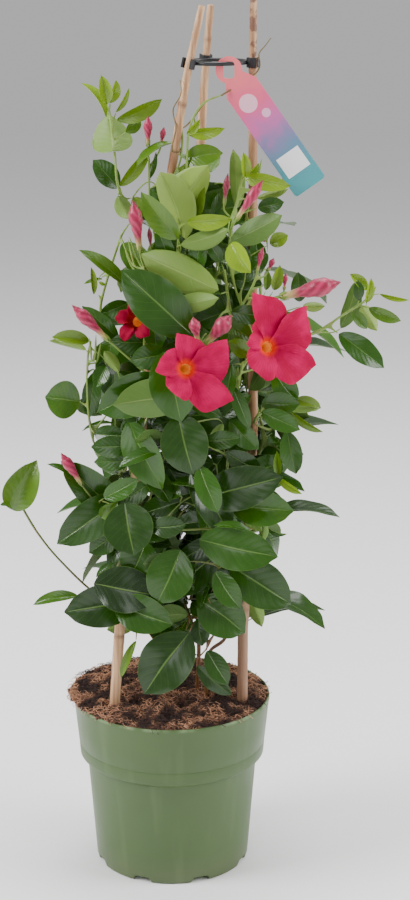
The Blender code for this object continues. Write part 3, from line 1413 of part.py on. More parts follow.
def shoot_paths(canes, vines, others):
    """The way that each shoot's stem takes, all settled before any leaf is set."""
    paths = {}
    for name, shoot in SHOOTS.items():
        cane = VINES[shoot.vine].cane
        vine = (vines[shoot.vine], canes[cane][0] if cane else None)
        paths[name] = fit_stem(name, shoot, vine, others)
        stub = rod("stub", paths[name], tapered(paths[name], STEM_RADIUS), "shoot")
        others.append(placed(stub, name, "stem"))
        bpy.data.objects.remove(stub)
    return paths


def set_leaves(paths, pieces, others):
    """The leaves that the view shows, each set out by hand."""
    for name, shoot in SHOOTS.items():
        for leaf in shoot.leaves:
            fitted = fit_leaf(leaf, paths[name], name, others)
            pieces[name].append(leaf_object(fitted, name, others))


def set_back_leaves(vines, pieces, others):
    for name, vine in VINES.items():
        if not vine.cane:
            continue
        for spot in back_leaves(name, vine, vines[name]):
            fitted = fit_back_leaf(*spot, name, others)
            if fitted:
                pieces[name].append(leaf_object(fitted, name, others))


def soil_holes(canes, vines):
    """The stems that stand in the soil, as (path, radii, roundness)."""
    holes = [(*canes[name], 2) for name in CANES]
    for path in vines.values():
        rooted = [path[0] - Vector((0, 0, GAP)), path[1], path[2] + Vector((0, 0, 20 * MM))]
        holes.append((rooted, [VINE_RADIUS[0] + GAP] * 3, 0))
    return holes


def main():
    clear_scene()
    canes = build_canes()
    top_ring, top_middle, top_radius = build_ring("ring_top", TOP_RING_HEIGHT, 8 * MM, canes, 18)
    mid_ring = build_ring("ring_middle", MID_RING_HEIGHT, 14 * MM, canes, 27)[0]
    fixed = [build_pot(), top_ring, mid_ring, build_tag(top_middle, top_radius)]
    fixed += [bpy.data.objects[name] for name in CANES]
    others = [placed(obj, obj.name, "fixed") for obj in fixed]
    stems, vines = build_stems(canes, others)
    soil = build_soil(soil_holes(canes, vines))
    others.append(placed(soil, "soil", "fixed"))
    feet = {}
    for name, bloom in BLOOMS.items():
        feet.setdefault(bloom.shoot, []).append(build_bloom(name, bloom, others))
    paths = shoot_paths(canes, vines, others)
    pieces = {name: [] for name in VINES}
    for name, shoot in SHOOTS.items():
        stems[name], pieces[name] = build_shoot(name, shoot, paths[name], feet.get(name, []), others)
    set_leaves(paths, pieces, others)
    stiff = as_one([o for o in others if o.owner.startswith(("cane", "ring"))])
    for name, fitted in fill_body([*paths.items(), *vines.items()], others, stiff):
        pieces[name].append(leaf_object(fitted, name, []))
    set_back_leaves(vines, pieces, others)
    for name, stem in stems.items():
        if pieces[name]:
            thinned(joined(stem, pieces[name]).data)


main()
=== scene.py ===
"""A mandevilla twining up three bamboo canes in its nursery pot, finished for its portrait."""

import json
import math
import random

import bmesh
import bpy
from mathutils import Matrix, Vector, noise
from mathutils.bvhtree import BVHTree
from mathutils.kdtree import KDTree

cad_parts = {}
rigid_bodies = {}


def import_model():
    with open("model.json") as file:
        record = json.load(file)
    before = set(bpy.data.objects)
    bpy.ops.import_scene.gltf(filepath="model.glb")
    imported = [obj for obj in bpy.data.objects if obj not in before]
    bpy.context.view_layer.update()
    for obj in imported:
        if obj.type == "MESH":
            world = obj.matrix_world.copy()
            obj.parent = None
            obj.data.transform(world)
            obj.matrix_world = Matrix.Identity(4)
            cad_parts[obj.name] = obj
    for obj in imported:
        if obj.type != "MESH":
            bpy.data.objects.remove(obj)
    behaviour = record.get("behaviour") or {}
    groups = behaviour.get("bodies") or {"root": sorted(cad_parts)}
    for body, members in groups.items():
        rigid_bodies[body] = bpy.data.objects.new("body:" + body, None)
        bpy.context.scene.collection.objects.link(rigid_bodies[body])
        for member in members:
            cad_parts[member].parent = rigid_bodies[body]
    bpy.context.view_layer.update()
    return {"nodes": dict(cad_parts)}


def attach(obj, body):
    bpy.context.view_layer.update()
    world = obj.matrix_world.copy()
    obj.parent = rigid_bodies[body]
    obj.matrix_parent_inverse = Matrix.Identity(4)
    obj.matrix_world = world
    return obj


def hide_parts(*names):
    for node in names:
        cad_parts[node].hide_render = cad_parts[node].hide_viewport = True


# The studio: a standing eye a metre and a half away, tilted down a little, under broad soft light, with
# the pot on a plain white sweep.
for startup in list(bpy.data.objects):
    bpy.data.objects.remove(startup)
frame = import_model()

MM = 0.001
EYE = Vector((0.0288, -1.589, 0.798))
EYE_TILT = math.radians(15.16)
FRAME_MIDDLE = (205.0, 450.0)
FOCAL = 1961.0
FILM_HEIGHT = 36.0

camera_data = bpy.data.cameras.new("portrait")
camera_data.sensor_fit = "VERTICAL"
camera_data.sensor_height = FILM_HEIGHT
camera_data.lens = FILM_HEIGHT * FOCAL / (2 * FRAME_MIDDLE[1])
cos, sin = math.cos(EYE_TILT), math.sin(EYE_TILT)


def placed(name, data):
    """A new object for this mesh, curve, light or camera, linked to the scene."""
    piece = bpy.data.objects.new(name, data)
    bpy.context.scene.collection.objects.link(piece)
    return piece


camera = placed("portrait", camera_data)
camera.matrix_world = Matrix(((1, 0, 0, EYE.x), (0, sin, -cos, EYE.y), (0, cos, sin, EYE.z), (0, 0, 0, 1)))
bpy.context.scene.camera = camera


def studio_light(name, place, aim, size, power):
    """A round soft light that faces its aim."""
    data = bpy.data.lights.new(name, "AREA")
    data.shape = "DISK"
    data.size = size
    data.energy = power
    light = placed(name, data)
    light.location = place
    light.rotation_mode = "QUATERNION"
    light.rotation_quaternion = (Vector(aim) - Vector(place)).to_track_quat("-Z", "Y")


studio_light("left_light", (-1.6, -0.5, 1.5), (0, 0, 0.35), 1.1, 50)
studio_light("right_light", (1.7, -0.3, 1.2), (0, 0, 0.35), 1.3, 36)
studio_light("top_light", (0.1, 0.5, 2.2), (0, 0, 0.4), 1.3, 32)
studio_light("front_light", (-0.5, -2.3, 1.5), (0, 0, 0.4), 1.1, 9)
world = bpy.data.worlds.new("studio")
world.use_nodes = True
world.node_tree.nodes["Background"].inputs["Color"].default_value = (1, 1, 1, 1)
world.node_tree.nodes["Background"].inputs["Strength"].default_value = 0.5
bpy.context.scene.world = world


def new_finish(name, **sockets):
    """A material: its node tree and its shader, with the shader's fixed values set."""
    finish = bpy.data.materials.new(name)
    finish.use_nodes = True
    shader = finish.node_tree.nodes["Principled BSDF"]
    for socket, value in sockets.items():
        shader.inputs[socket.replace("_", " ")].default_value = value
    return finish, finish.node_tree, shader


def put(tree, kind, sockets, output=0, **settings):
    """A node with its sockets filled or linked. Returns one of its outputs."""
    node = tree.nodes.new(kind)
    for setting, value in settings.items():
        setattr(node, setting, value)
    for socket, value in sockets.items():
        if isinstance(value, bpy.types.NodeSocket):
            tree.links.new(value, node.inputs[socket])
        else:
            node.inputs[socket].default_value = value
    return node.outputs[output]


def blended(tree, share, first, second):
    """The first colour giving way to the second by this share."""
    return put(tree, "ShaderNodeMix", {0: share, 6: first, 7: second}, output=2, data_type="RGBA")


def place_of(tree):
    """The place on the piece, in metres."""
    return put(tree, "ShaderNodeTexCoord", {}, output="Object")


def speckle(tree, scale, detail=3.0, stretch=(1, 1, 1), vector=None):
    """Noise at this many grains to the metre, drawn out along an axis."""
    vector = vector or place_of(tree)
    drawn = put(tree, "ShaderNodeMapping", {"Vector": vector, "Scale": stretch})
    return put(tree, "ShaderNodeTexNoise", {"Vector": drawn, "Scale": scale, "Detail": detail})


def shown(name, verts, faces, finishes):
    """A piece of the plant as one mesh, its place in its vertices."""
    mesh = bpy.data.meshes.new(name)
    mesh.from_pydata([tuple(v) for v in verts], [], faces)
    for finish in finishes:
        mesh.materials.append(finish)
    mesh.shade_smooth()
    return placed(name, mesh)


paper, tree, shader = new_finish("white_sweep", Roughness=0.9)
tone = speckle(tree, 3.0)
whites = blended(tree, tone, (0.94, 0.94, 0.94, 1), (0.97, 0.97, 0.97, 1))
tree.links.new(whites, shader.inputs["Base Color"])
sweep = [(-6, -6, 0), (6, -6, 0), (6, 6, 0), (-6, 6, 0)]
floor = shown("floor", sweep, [(0, 1, 2, 3)], [paper])

# The pot: a 17 cm injection-moulded nursery pot in satin green, with a deep rim band, a faint parting
# line round it, a rolled lip and eight drain notches at its foot, and a painted highlight in patches along
# the top of its lip.
POT_SECTION = (
    (0.0, 0.0), (58.0, 0.0), (63.6, 0.0), (65.7, 0.8), (66.4, 3.0), (68.1, 24.0), (70.0, 48.0),
    (72.0, 73.0), (73.5, 92.0), (73.9, 93.6), (78.9, 97.2), (79.9, 98.4), (80.2, 101.0), (80.75, 108.2),
    (80.5, 108.9), (80.9, 109.6), (82.6, 126.0), (84.5, 144.6), (85.0, 146.4), (85.0, 149.0),
    (84.6, 149.8), (83.9, 150.0), (83.3, 149.6), (83.1, 148.6), (80.7, 122.0), (78.5, 101.4),
    (71.8, 92.0), (64.7, 5.4), (61.6, 2.4), (0.0, 2.4),
)
POT_STEPS = 144
POT_HEIGHT = 150.0
NOTCHES = 8
NOTCH_HALF_ANGLE = 0.115
NOTCH_HEIGHT = 5.0
NOTCH_REACH = 60.0


def turned(section, steps, shaped):
    """Rings of points for a section of (radius, height) turned about the upright axis."""
    verts = [Vector((0, 0, section[0][1])) * MM]
    for radius, height in section[1:-1]:
        for i in range(steps):
            angle = math.tau * i / steps
            r, h = shaped(radius, height, angle)
            verts.append(Vector((r * math.cos(angle), r * math.sin(angle), h)) * MM)
    verts.append(Vector((0, 0, section[-1][1])) * MM)
    faces = [(0, 1 + (i + 1) % steps, 1 + i) for i in range(steps)]
    for ring in range(len(section) - 3):
        a = 1 + ring * steps
        for i in range(steps):
            j = (i + 1) % steps
            faces.append((a + i, a + j, a + steps + j, a + steps + i))
    a = 1 + (len(section) - 3) * steps
    faces += [(a + i, a + (i + 1) % steps, len(verts) - 1) for i in range(steps)]
    return verts, faces


def with_notches(radius, height, angle):
    """The foot lifted at each drain notch, and the wall a hair out of round."""
    gap = (angle * NOTCHES / math.tau) % 1 - 0.5
    if abs(gap) * math.tau / NOTCHES < NOTCH_HALF_ANGLE and NOTCH_REACH < radius and height < NOTCH_HEIGHT:
        height = NOTCH_HEIGHT
    return radius + 0.12 * (math.sin(3 * angle) - 1) * height / POT_HEIGHT, height


def ink(red, green, blue):
    """A colour as seen on screen, made linear."""
    return tuple((c / 255 / 12.92 if c < 10 else ((c / 255 + 0.055) / 1.055) ** 2.4)
                 for c in (red, green, blue)) + (1.0,)


def sums(tree, operation, *values):
    """One step of arithmetic on these values."""
    return put(tree, "ShaderNodeMath", dict(enumerate(values)), operation=operation)


def faded(tree, value, low, high, start=0.0, end=1.0):
    """The value's way from low to high as a smooth share between start and end."""
    return put(tree, "ShaderNodeMapRange",
               {"Value": value, "From Min": low, "From Max": high, "To Min": start, "To Max": end},
               interpolation_type="SMOOTHSTEP")


def raised(tree, shader, height, depth, strength=1.0):
    """Gives the finish a relief this many metres deep."""
    bump = put(tree, "ShaderNodeBump", {"Height": height, "Distance": depth, "Strength": strength})
    tree.links.new(bump, shader.inputs["Normal"])


def part_of(tree, vector, letter):
    """The X, Y or Z of a vector."""
    return put(tree, "ShaderNodeSeparateXYZ", {"Vector": vector}, output=letter)


def outward(piece):
    """Turns every face of the piece outwards."""
    form = bmesh.new()
    form.from_mesh(piece.data)
    bmesh.ops.recalc_face_normals(form, faces=form.faces)
    form.to_mesh(piece.data)
    form.free()


def fitted(piece, slot, *nodes):
    """Fixes the piece to the plant in place of its plain solids."""
    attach(piece, "root")
    if nodes:
        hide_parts(*nodes)


green_plastic, tree, shader = new_finish("green_plastic", Roughness=0.42, IOR=1.46)
cloudy = speckle(tree, 14.0, 4.0)
flow = speckle(tree, 60.0, 2.0, (1, 1, 0.12))
colour = blended(tree, cloudy, ink(62, 84, 44), ink(76, 98, 55))
colour = blended(tree, faded(tree, flow, 0.52, 0.72, 0.0, 0.25), colour, ink(98, 118, 76))
height = part_of(tree, place_of(tree), "Z")
# Painted highlight: the top of the lip is lightened in patches.
painted_lip_highlight = sums(tree, "MULTIPLY", faded(tree, height, 0.1465, 0.1495, 0.0, 0.5), faded(tree, flow, 0.4, 0.6))
colour = blended(tree, painted_lip_highlight, colour, ink(136, 160, 118))
dust = sums(tree, "MULTIPLY", faded(tree, height, 0.03, 0.0, 0.0, 0.4), cloudy)
tree.links.new(blended(tree, dust, colour, ink(110, 104, 84)), shader.inputs["Base Color"])
tree.links.new(faded(tree, cloudy, 0.3, 0.7, 0.36, 0.5), shader.inputs["Roughness"])
raised(tree, shader, speckle(tree, 900.0, 2.0), 0.00004)
pot = shown("nursery_pot", *turned(POT_SECTION, POT_STEPS, with_notches), [green_plastic])
outward(pot)
pot.data.set_sharp_from_angle(angle=math.radians(34))
fitted(pot, "pot", "pot")

# The soil: a low mound of damp reddish coir and peat that has spilled over the left of the rim, its
# surface darkened in patches and where its grain dips by painted shade for the gaps between crumbs, and
# strewn with crumbs and curled fibres at random.
SOIL_AROUND, SOIL_RINGS = 132, 40
SOIL_TOP, SOIL_REACH = 151.0, 85.0
MOUND_RISE = 7.0
SOIL_LUMPS = ((0, 19.0, 7.0), (9, 6.5, 3.8), (30, 2.4, 1.1))
BRIM, BRIM_SPILL, BRIM_LUMP = 81.7, 6.6, 0.9
BRIM_LEVEL, SPILL_LEVEL, SPILLS_FROM = 148.9, 151.4, 0.2
SOIL_SIDE = ((81.9, 150.3), (81.2, 146.5), (76.8, 101.0), (70.6, 92.0), (63.6, 6.5))


def soil_height(x, y):
    """How high the mound stands at this place, in millimetres: highest at the back and on the left."""
    share = min(1.0, math.hypot(x, y) / SOIL_REACH)
    angle = math.atan2(y, x)
    back = 0.5 + 0.25 * math.sin(angle) - 0.25 * math.cos(angle)
    rise = MOUND_RISE * (0.25 + back) * (1 - share ** 2)
    lumps = sum(noise.noise(Vector((x, y, row)) / width) * height for row, width, height in SOIL_LUMPS)
    return SOIL_TOP + rise + lumps * (1 - share ** 6)


def leftward(angle):
    """How far this way round points to the left, where the soil spills over."""
    return max(0.0, -math.cos(angle)) ** 2


verts, faces = [Vector((0, 0, soil_height(0, 0))) * MM], []
for ring in range(1, SOIL_RINGS + 1):
    share = ring / SOIL_RINGS
    for i in range(SOIL_AROUND):
        angle = math.tau * i / SOIL_AROUND
        left = leftward(angle)
        brim = BRIM + BRIM_SPILL * left + BRIM_LUMP * noise.noise(Vector((angle * 5, 0, 3)))
        radius = brim * share
        x, y = radius * math.cos(angle), radius * math.sin(angle)
        z = soil_height(x, y)
        if share > 0.9:
            level = SPILL_LEVEL if left > SPILLS_FROM else BRIM_LEVEL
            spill = level + 0.5 * noise.noise(Vector((x, y, 5)) / 4)
            z += (spill - z) * (share - 0.9) / 0.1
        verts.append(Vector((x, y, z)) * MM)
for radius, height in SOIL_SIDE:
    for i in range(SOIL_AROUND):
        angle = math.tau * i / SOIL_AROUND
        low = height if height < POT_HEIGHT or leftward(angle) > SPILLS_FROM else POT_HEIGHT - 2
        verts.append(Vector((radius * math.cos(angle), radius * math.sin(angle), low)) * MM)
verts.append(Vector((0, 0, SOIL_SIDE[-1][1])) * MM)
faces = [(0, 1 + i, 1 + (i + 1) % SOIL_AROUND) for i in range(SOIL_AROUND)]
for ring in range(SOIL_RINGS + len(SOIL_SIDE) - 1):
    a = 1 + ring * SOIL_AROUND
    for i in range(SOIL_AROUND):
        j = (i + 1) % SOIL_AROUND
        faces.append((a + i, a + SOIL_AROUND + i, a + SOIL_AROUND + j, a + j))
a = 1 + (SOIL_RINGS + len(SOIL_SIDE) - 1) * SOIL_AROUND
faces += [(a + i, len(verts) - 1, a + (i + 1) % SOIL_AROUND) for i in range(SOIL_AROUND)]

coir, tree, shader = new_finish("coir", Roughness=0.95)
grain_and_hollow_shade = speckle(tree, 420.0, 6.0)
painted_hollow_shade = speckle(tree, 55.0, 3.0)
# The soil's own dark and light grains, with painted shade where the grain dips; the patches darken it
# further with painted shade for the gaps between crumbs.
colour = blended(tree, faded(tree, grain_and_hollow_shade, 0.35, 0.68), ink(30, 17, 13), ink(112, 74, 54))
colour = blended(tree, faded(tree, painted_hollow_shade, 0.46, 0.6, 0.0, 0.85), colour, ink(30, 17, 13))
tree.links.new(colour, shader.inputs["Base Color"])
raised(tree, shader, grain_and_hollow_shade, 0.0012)
fibre_brown, tree, shader = new_finish("coir_fibre", Roughness=0.8)
shade = speckle(tree, 55.0, 3.0)
tree.links.new(blended(tree, faded(tree, shade, 0.56, 0.44), ink(52, 30, 24), ink(190, 140, 108)),
               shader.inputs["Base Color"])
soil = shown("soil_mound", verts, faces, [coir])
outward(soil)
fitted(soil, "soil", "soil")

FIBRE_RADIUS = 0.14 * MM
LITTER_ABOVE = 0.1484
SMALLEST_LITTER = 0.35
fibre_path = [Vector((-2.6, -1.1, 0.0)), Vector((-2.3, 0.6, 0.8)), Vector((-0.8, 1.1, 1.4)),
              Vector((0.4, -0.2, 1.7)), Vector((1.5, -1.2, 1.1)), Vector((2.9, 0.3, 0.4))]
fibre_verts = [p * MM + Vector((0, math.cos(a), math.sin(a))) * FIBRE_RADIUS
               for p in fibre_path for a in (0.0, 2.1, 4.2)]
fibre_faces = [(i * 3 + k, i * 3 + (k + 1) % 3, i * 3 + 3 + (k + 1) % 3, i * 3 + 3 + k)
               for i in range(len(fibre_path) - 1) for k in range(3)]
fibre_faces += [(2, 1, 0), tuple(range(len(fibre_verts) - 3, len(fibre_verts)))]
fibre = shown("fibre", fibre_verts, fibre_faces, [fibre_brown])
bpy.ops.mesh.primitive_ico_sphere_add(subdivisions=1, radius=1.5 * MM)
crumb = bpy.context.object
for vert in crumb.data.vertices:
    vert.co *= 0.75 + 0.5 * noise.noise(vert.co * 900)


def new_tree(name, *sizes):
    """A tree for a mesh with these named sizes: the tree, its two ends and each size's identifier."""
    tree = bpy.data.node_groups.new(name, "GeometryNodeTree")
    tree.interface.new_socket("Geometry", in_out="INPUT", socket_type="NodeSocketGeometry")
    inputs = [tree.interface.new_socket(size, in_out="INPUT", socket_type="NodeSocketFloat")
              for size in sizes]
    tree.interface.new_socket("Geometry", in_out="OUTPUT", socket_type="NodeSocketGeometry")
    start, end = tree.nodes.new("NodeGroupInput"), tree.nodes.new("NodeGroupOutput")
    return tree, start, end, [size.identifier for size in inputs]


def ended(tree, geometry, finish, end):
    """Closes a tree: real meshes in their finish."""
    real = put(tree, "GeometryNodeRealizeInstances", {"Geometry": geometry})
    done = put(tree, "GeometryNodeSetMaterial", {"Geometry": real, "Material": finish})
    tree.links.new(done, end.inputs["Geometry"])


def settled(piece):
    """The piece with its modifiers worked in, as a plain mesh."""
    graph = bpy.context.evaluated_depsgraph_get()
    mesh = bpy.data.meshes.new_from_object(piece.evaluated_get(graph))
    name = piece.name
    bpy.data.objects.remove(piece)
    return placed(name, mesh)


def grown(piece, tree, sizes):
    """The piece as its tree makes it with these sizes, as a plain mesh."""
    growth = piece.modifiers.new("growth", "NODES")
    growth.node_group = tree
    for identifier, value in sizes.items():
        growth[identifier] = value
    made = settled(piece)
    made.data.shade_smooth()
    return made


def litter_tree(name, litter, finish, seed, sunk):
    """A tree that strews one small thing over the top of the soil, and its sizes' identifiers."""
    tree, start, end, sizes = new_tree(name, "Per square metre", "Largest size")
    where = put(tree, "GeometryNodeInputPosition", {})
    level = part_of(tree, where, "Z")
    on_top = put(tree, "FunctionNodeCompare", {"A": level, "B": LITTER_ABOVE}, operation="GREATER_THAN")
    scatter = tree.nodes.new("GeometryNodeDistributePointsOnFaces")
    tree.links.new(start.outputs["Geometry"], scatter.inputs["Mesh"])
    tree.links.new(start.outputs["Per square metre"], scatter.inputs["Density"])
    tree.links.new(on_top, scatter.inputs["Selection"])
    scatter.inputs["Seed"].default_value = seed
    turn = put(tree, "FunctionNodeRandomValue",
               {"Min": (-0.7, -0.5, 0.0), "Max": (0.7, 0.5, math.tau), "Seed": seed + 1},
               data_type="FLOAT_VECTOR")
    scale = put(tree, "FunctionNodeRandomValue", {"Max": start.outputs["Largest size"], "Seed": seed + 2},
                output=1, data_type="FLOAT")
    scale.node.inputs[2].default_value = SMALLEST_LITTER
    thing = tree.nodes.new("GeometryNodeObjectInfo")
    thing.inputs["Object"].default_value = litter
    spread = tree.nodes.new("GeometryNodeInstanceOnPoints")
    tree.links.new(scatter.outputs["Points"], spread.inputs["Points"])
    tree.links.new(thing.outputs["Geometry"], spread.inputs["Instance"])
    tree.links.new(turn, spread.inputs["Rotation"])
    tree.links.new(scale, spread.inputs["Scale"])
    lowered = put(tree, "GeometryNodeTranslateInstances",
                  {"Instances": spread.outputs[0], "Translation": (0, 0, -sunk)})
    ended(tree, lowered, finish, end)
    return tree, sizes


def strewn(name, litter, finish, per_metre, largest, seed, sunk):
    """Litter strewn over the soil, fixed to the plant."""
    tree, sizes = litter_tree(name, litter, finish, seed, sunk)
    fitted(grown(placed(name, soil.data.copy()), tree, dict(zip(sizes, (per_metre, largest)))), "soil")


strewn("soil_fibres", fibre, fibre_brown, 130000, 2.3, 3, 0.0003)
strewn("soil_crumbs", crumb, coir, 40000, 2.6, 8, 0.0004)
bpy.data.objects.remove(fibre)
bpy.data.objects.remove(crumb)

# The canes: three bamboo stakes pushed into the pot and leaned together, pale tan with dry streaks, a
# low ridge at each joint and a plain sawn top. The right one is spotted at its top and darkened at its
# foot with painted shade.
CANE_SIGHTS = {
    "cane_left": ((115.0, 700.0, -35.5), (120.6, 611.0, -35.5), (141.0, 435.0, -34.5),
                  (171.9, 168.0, -26.0), (188.7, 66.0, -23.0), (202.0, 5.6, -20.0)),
    "cane_back": ((169.0, 660.0, 60.0), (182.8, 435.0, 53.0), (202.4, 116.0, 31.0),
                  (205.4, 67.0, 28.0), (210.6, 5.0, 23.0)),
    "cane_right": ((242.5, 710.0, -23.0), (242.7, 629.0, -22.0), (253.0, 435.0, -18.5),
                   (252.7, 149.0, -11.0), (252.7, 60.0, -9.0), (253.8, -8.0, -7.0)),
}
CANE_WIDTHS = ((150.0, 4.7), (615.0, 3.75), (745.0, 2.8))
CANE_FOOT = 60.0 * MM
CANE_STEPS, CANE_SIDES = 150, 20
JOINT_RIDGE, JOINT_LENGTH = 0.42 * MM, 2.0 * MM
CANE_JOINTS = {"cane_left": (0.214, 0.352, 0.497, 0.655), "cane_back": (0.262, 0.405, 0.561, 0.702),
               "cane_right": (0.232, 0.378, 0.538, 0.684)}


def sight_point(across, down, depth):
    """The point this many millimetres deep that the eye sees at this place of its frame."""
    right = (across - FRAME_MIDDLE[0]) / FOCAL
    up = (FRAME_MIDDLE[1] - down) / FOCAL
    reach = (depth * MM - EYE.y) / (cos + up * sin)
    return Vector((EYE.x + reach * right, depth * MM, EYE.z + reach * (up * cos - sin)))


def at_height(path, height):
    """The point of an upward path at this height."""
    for low, high in zip(path, path[1:]):
        if height <= high.z:
            return low.lerp(high, (height - low.z) / (high.z - low.z))
    return path[-1].copy()


def cane_radius(height):
    """How thick a cane is at this height: it tapers from its foot to its top."""
    low = CANE_WIDTHS[0]
    for high in CANE_WIDTHS[1:]:
        if height <= high[0] * MM:
            share = max(0.0, (height / MM - low[0]) / (high[0] - low[0]))
            return (low[1] + (high[1] - low[1]) * share) * MM
        low = high
    return low[1] * MM


def marked(mesh, name, values, domain="POINT"):
    """Stores a number or a place for each point or corner of the mesh, for its finish to read."""
    single = isinstance(values[0], float)
    field = mesh.attributes.new(name, "FLOAT" if single else "FLOAT_VECTOR", domain)
    if single:
        field.data.foreach_set("value", values)
    else:
        field.data.foreach_set("vector", [c for u, v in values for c in (u, v, 0.0)])


def mark_of(tree, name, output="Vector"):
    """What a mesh stores under this name."""
    return put(tree, "ShaderNodeAttribute", {}, output=output, attribute_name=name)


def swept_tree(name, finish, sides):
    """A tree that skins a line with a round wall of the line's own radius, a little uneven."""
    tree, start, end, sizes = new_tree(name, "Unevenness", "Step")
    line = put(tree, "GeometryNodeMeshToCurve", {"Mesh": start.outputs["Geometry"]})
    even = put(tree, "GeometryNodeResampleCurve", {"Curve": line, "Length": start.outputs["Step"]},
               mode="LENGTH")
    radius = put(tree, "GeometryNodeInputNamedAttribute", {"Name": "radius_here"}, data_type="FLOAT")
    ring = put(tree, "GeometryNodeCurvePrimitiveCircle", {"Resolution": sides, "Radius": 1.0})
    skin = tree.nodes.new("GeometryNodeCurveToMesh")
    tree.links.new(ring, skin.inputs["Profile Curve"])
    skin.inputs["Fill Caps"].default_value = True
    tree.links.new(even, skin.inputs["Curve"])
    tree.links.new(radius, skin.inputs["Scale"])
    bumps = put(tree, "ShaderNodeTexNoise", {"Scale": 160.0, "Detail": 1.0})
    normal = put(tree, "GeometryNodeInputNormal", {})
    push = sums(tree, "MULTIPLY", sums(tree, "SUBTRACT", bumps, 0.5), start.outputs["Unevenness"])
    moved = put(tree, "ShaderNodeVectorMath", {0: normal, "Scale": push}, operation="SCALE")
    shaped = put(tree, "GeometryNodeSetPosition", {"Geometry": skin.outputs[0], "Offset": moved})
    ended(tree, shaped, finish, end)
    return tree, sizes


def swept(name, lines, finish, sides, uneven=0.0, step=4 * MM):
    """Stems along lines of (point, radius) pairs, skinned by nodes into one plain mesh."""
    verts, edges, radii = [], [], []
    for line in lines:
        edges += [(len(verts) + i, len(verts) + i + 1) for i in range(len(line) - 1)]
        verts += [tuple(point) for point, _ in line]
        radii += [radius for _, radius in line]
    mesh = bpy.data.meshes.new(name)
    mesh.from_pydata(verts, edges, [])
    marked(mesh, "radius_here", radii)
    tree, sizes = swept_tree(name, finish, sides)
    made = grown(placed(name, mesh), tree, dict(zip(sizes, (uneven, step))))
    made.data.set_sharp_from_angle(angle=math.radians(50))
    return made


bamboo, tree, shader = new_finish("bamboo", Roughness=0.55)
streak = speckle(tree, 260.0, 4.0, (1, 1, 0.05))
patches = speckle(tree, 26.0, 3.0, (1, 1, 0.4))
colour = blended(tree, faded(tree, streak, 0.38, 0.66), ink(164, 120, 84), ink(210, 170, 130))
colour = blended(tree, faded(tree, patches, 0.56, 0.7, 0.0, 0.6), colour, ink(150, 98, 68))
above = part_of(tree, place_of(tree), "Z")
beside = part_of(tree, place_of(tree), "X")
weathered = sums(tree, "MULTIPLY", faded(tree, above, 0.64, 0.7), faded(tree, beside, 0.045, 0.055))
spots = sums(tree, "MULTIPLY", weathered, faded(tree, speckle(tree, 150.0, 3.0), 0.45, 0.58))
colour = blended(tree, sums(tree, "MULTIPLY", spots, 0.8), colour, ink(96, 56, 44))
# Painted shade: the right cane is darkened towards its foot.
painted_foot_shade = sums(tree, "MULTIPLY", faded(tree, above, 0.27, 0.2), faded(tree, beside, 0.045, 0.055))
colour = blended(tree, sums(tree, "MULTIPLY", painted_foot_shade, 0.6), colour, ink(104, 70, 58))
joint = mark_of(tree, "joint", "Fac")
colour = blended(tree, sums(tree, "MULTIPLY", joint, 0.75), colour, ink(104, 68, 46))
tree.links.new(colour, shader.inputs["Base Color"])
tree.links.new(faded(tree, streak, 0.3, 0.7, 0.45, 0.65), shader.inputs["Roughness"])
raised(tree, shader, streak, 0.00025)

cane_paths = {}
for name, sights in CANE_SIGHTS.items():
    points = [sight_point(*sight) for sight in sights]
    foot = Vector((*points[0].xy * 0.93, CANE_FOOT))
    cane_paths[name] = [foot] + points
    line = []
    top = points[-1].z
    for i in range(CANE_STEPS + 1):
        height = CANE_FOOT + (top - CANE_FOOT) * i / CANE_STEPS
        near = min(abs(height - joint) for joint in CANE_JOINTS[name])
        ridge = JOINT_RIDGE * math.exp(-(near / JOINT_LENGTH) ** 2)
        sway = Vector([noise.noise(Vector((height * 11, row, 0))) for row in (1, 5)] + [0])
        line.append((at_height(cane_paths[name], height) + sway * 0.5 * MM,
                     cane_radius(height) - 0.15 * MM + ridge))
    cane = swept("bamboo_" + name, [line], bamboo, CANE_SIDES, 0.5 * MM, 3 * MM)
    gaps = [min(abs(vert.co.z - joint - 1.2 * MM) for joint in CANE_JOINTS[name])
            for vert in cane.data.vertices]
    marked(cane.data, "joint", [math.exp(-(gap / (1.3 * MM)) ** 2) for gap in gaps])
    fitted(cane, "cane", name)

# The rings: two black moulded hoops, each with three open snap clips that grip the canes from inside, one
# near the top and a larger one at the middle.
RING_BAR = 1.6 * MM
CLIP_WALL = 1.5 * MM
CLIP_PLAY = 0.3 * MM
BAR_SET_IN = 0.2 * MM
CLIP_MOUTH = math.radians(100)
RING_AROUND, BAR_SIDES, CLIP_STEPS = 120, 14, 26
TOP_RING_HEIGHT, TOP_CLIP = 688.0 * MM, 8 * MM
MIDDLE_RING_HEIGHT, MIDDLE_CLIP = 381.0 * MM, 14 * MM
black_plastic, tree, shader = new_finish("black_plastic", Roughness=0.38)
mottle = speckle(tree, 120.0, 3.0)
tree.links.new(blended(tree, mottle, ink(16, 17, 19), ink(36, 37, 40)), shader.inputs["Base Color"])
tree.links.new(faded(tree, mottle, 0.3, 0.7, 0.3, 0.5), shader.inputs["Roughness"])
raised(tree, shader, speckle(tree, 1500.0, 2.0), 0.00003)


def circle_middle(a, b, c):
    """The middle of the level circle through three points."""
    rows = Matrix(((b.x - a.x, b.y - a.y), (c.x - a.x, c.y - a.y)))
    half = Vector((b.xy.length_squared - a.xy.length_squared, c.xy.length_squared - a.xy.length_squared)) / 2
    middle = rows.inverted() @ half
    return Vector((middle.x, middle.y, a.z))


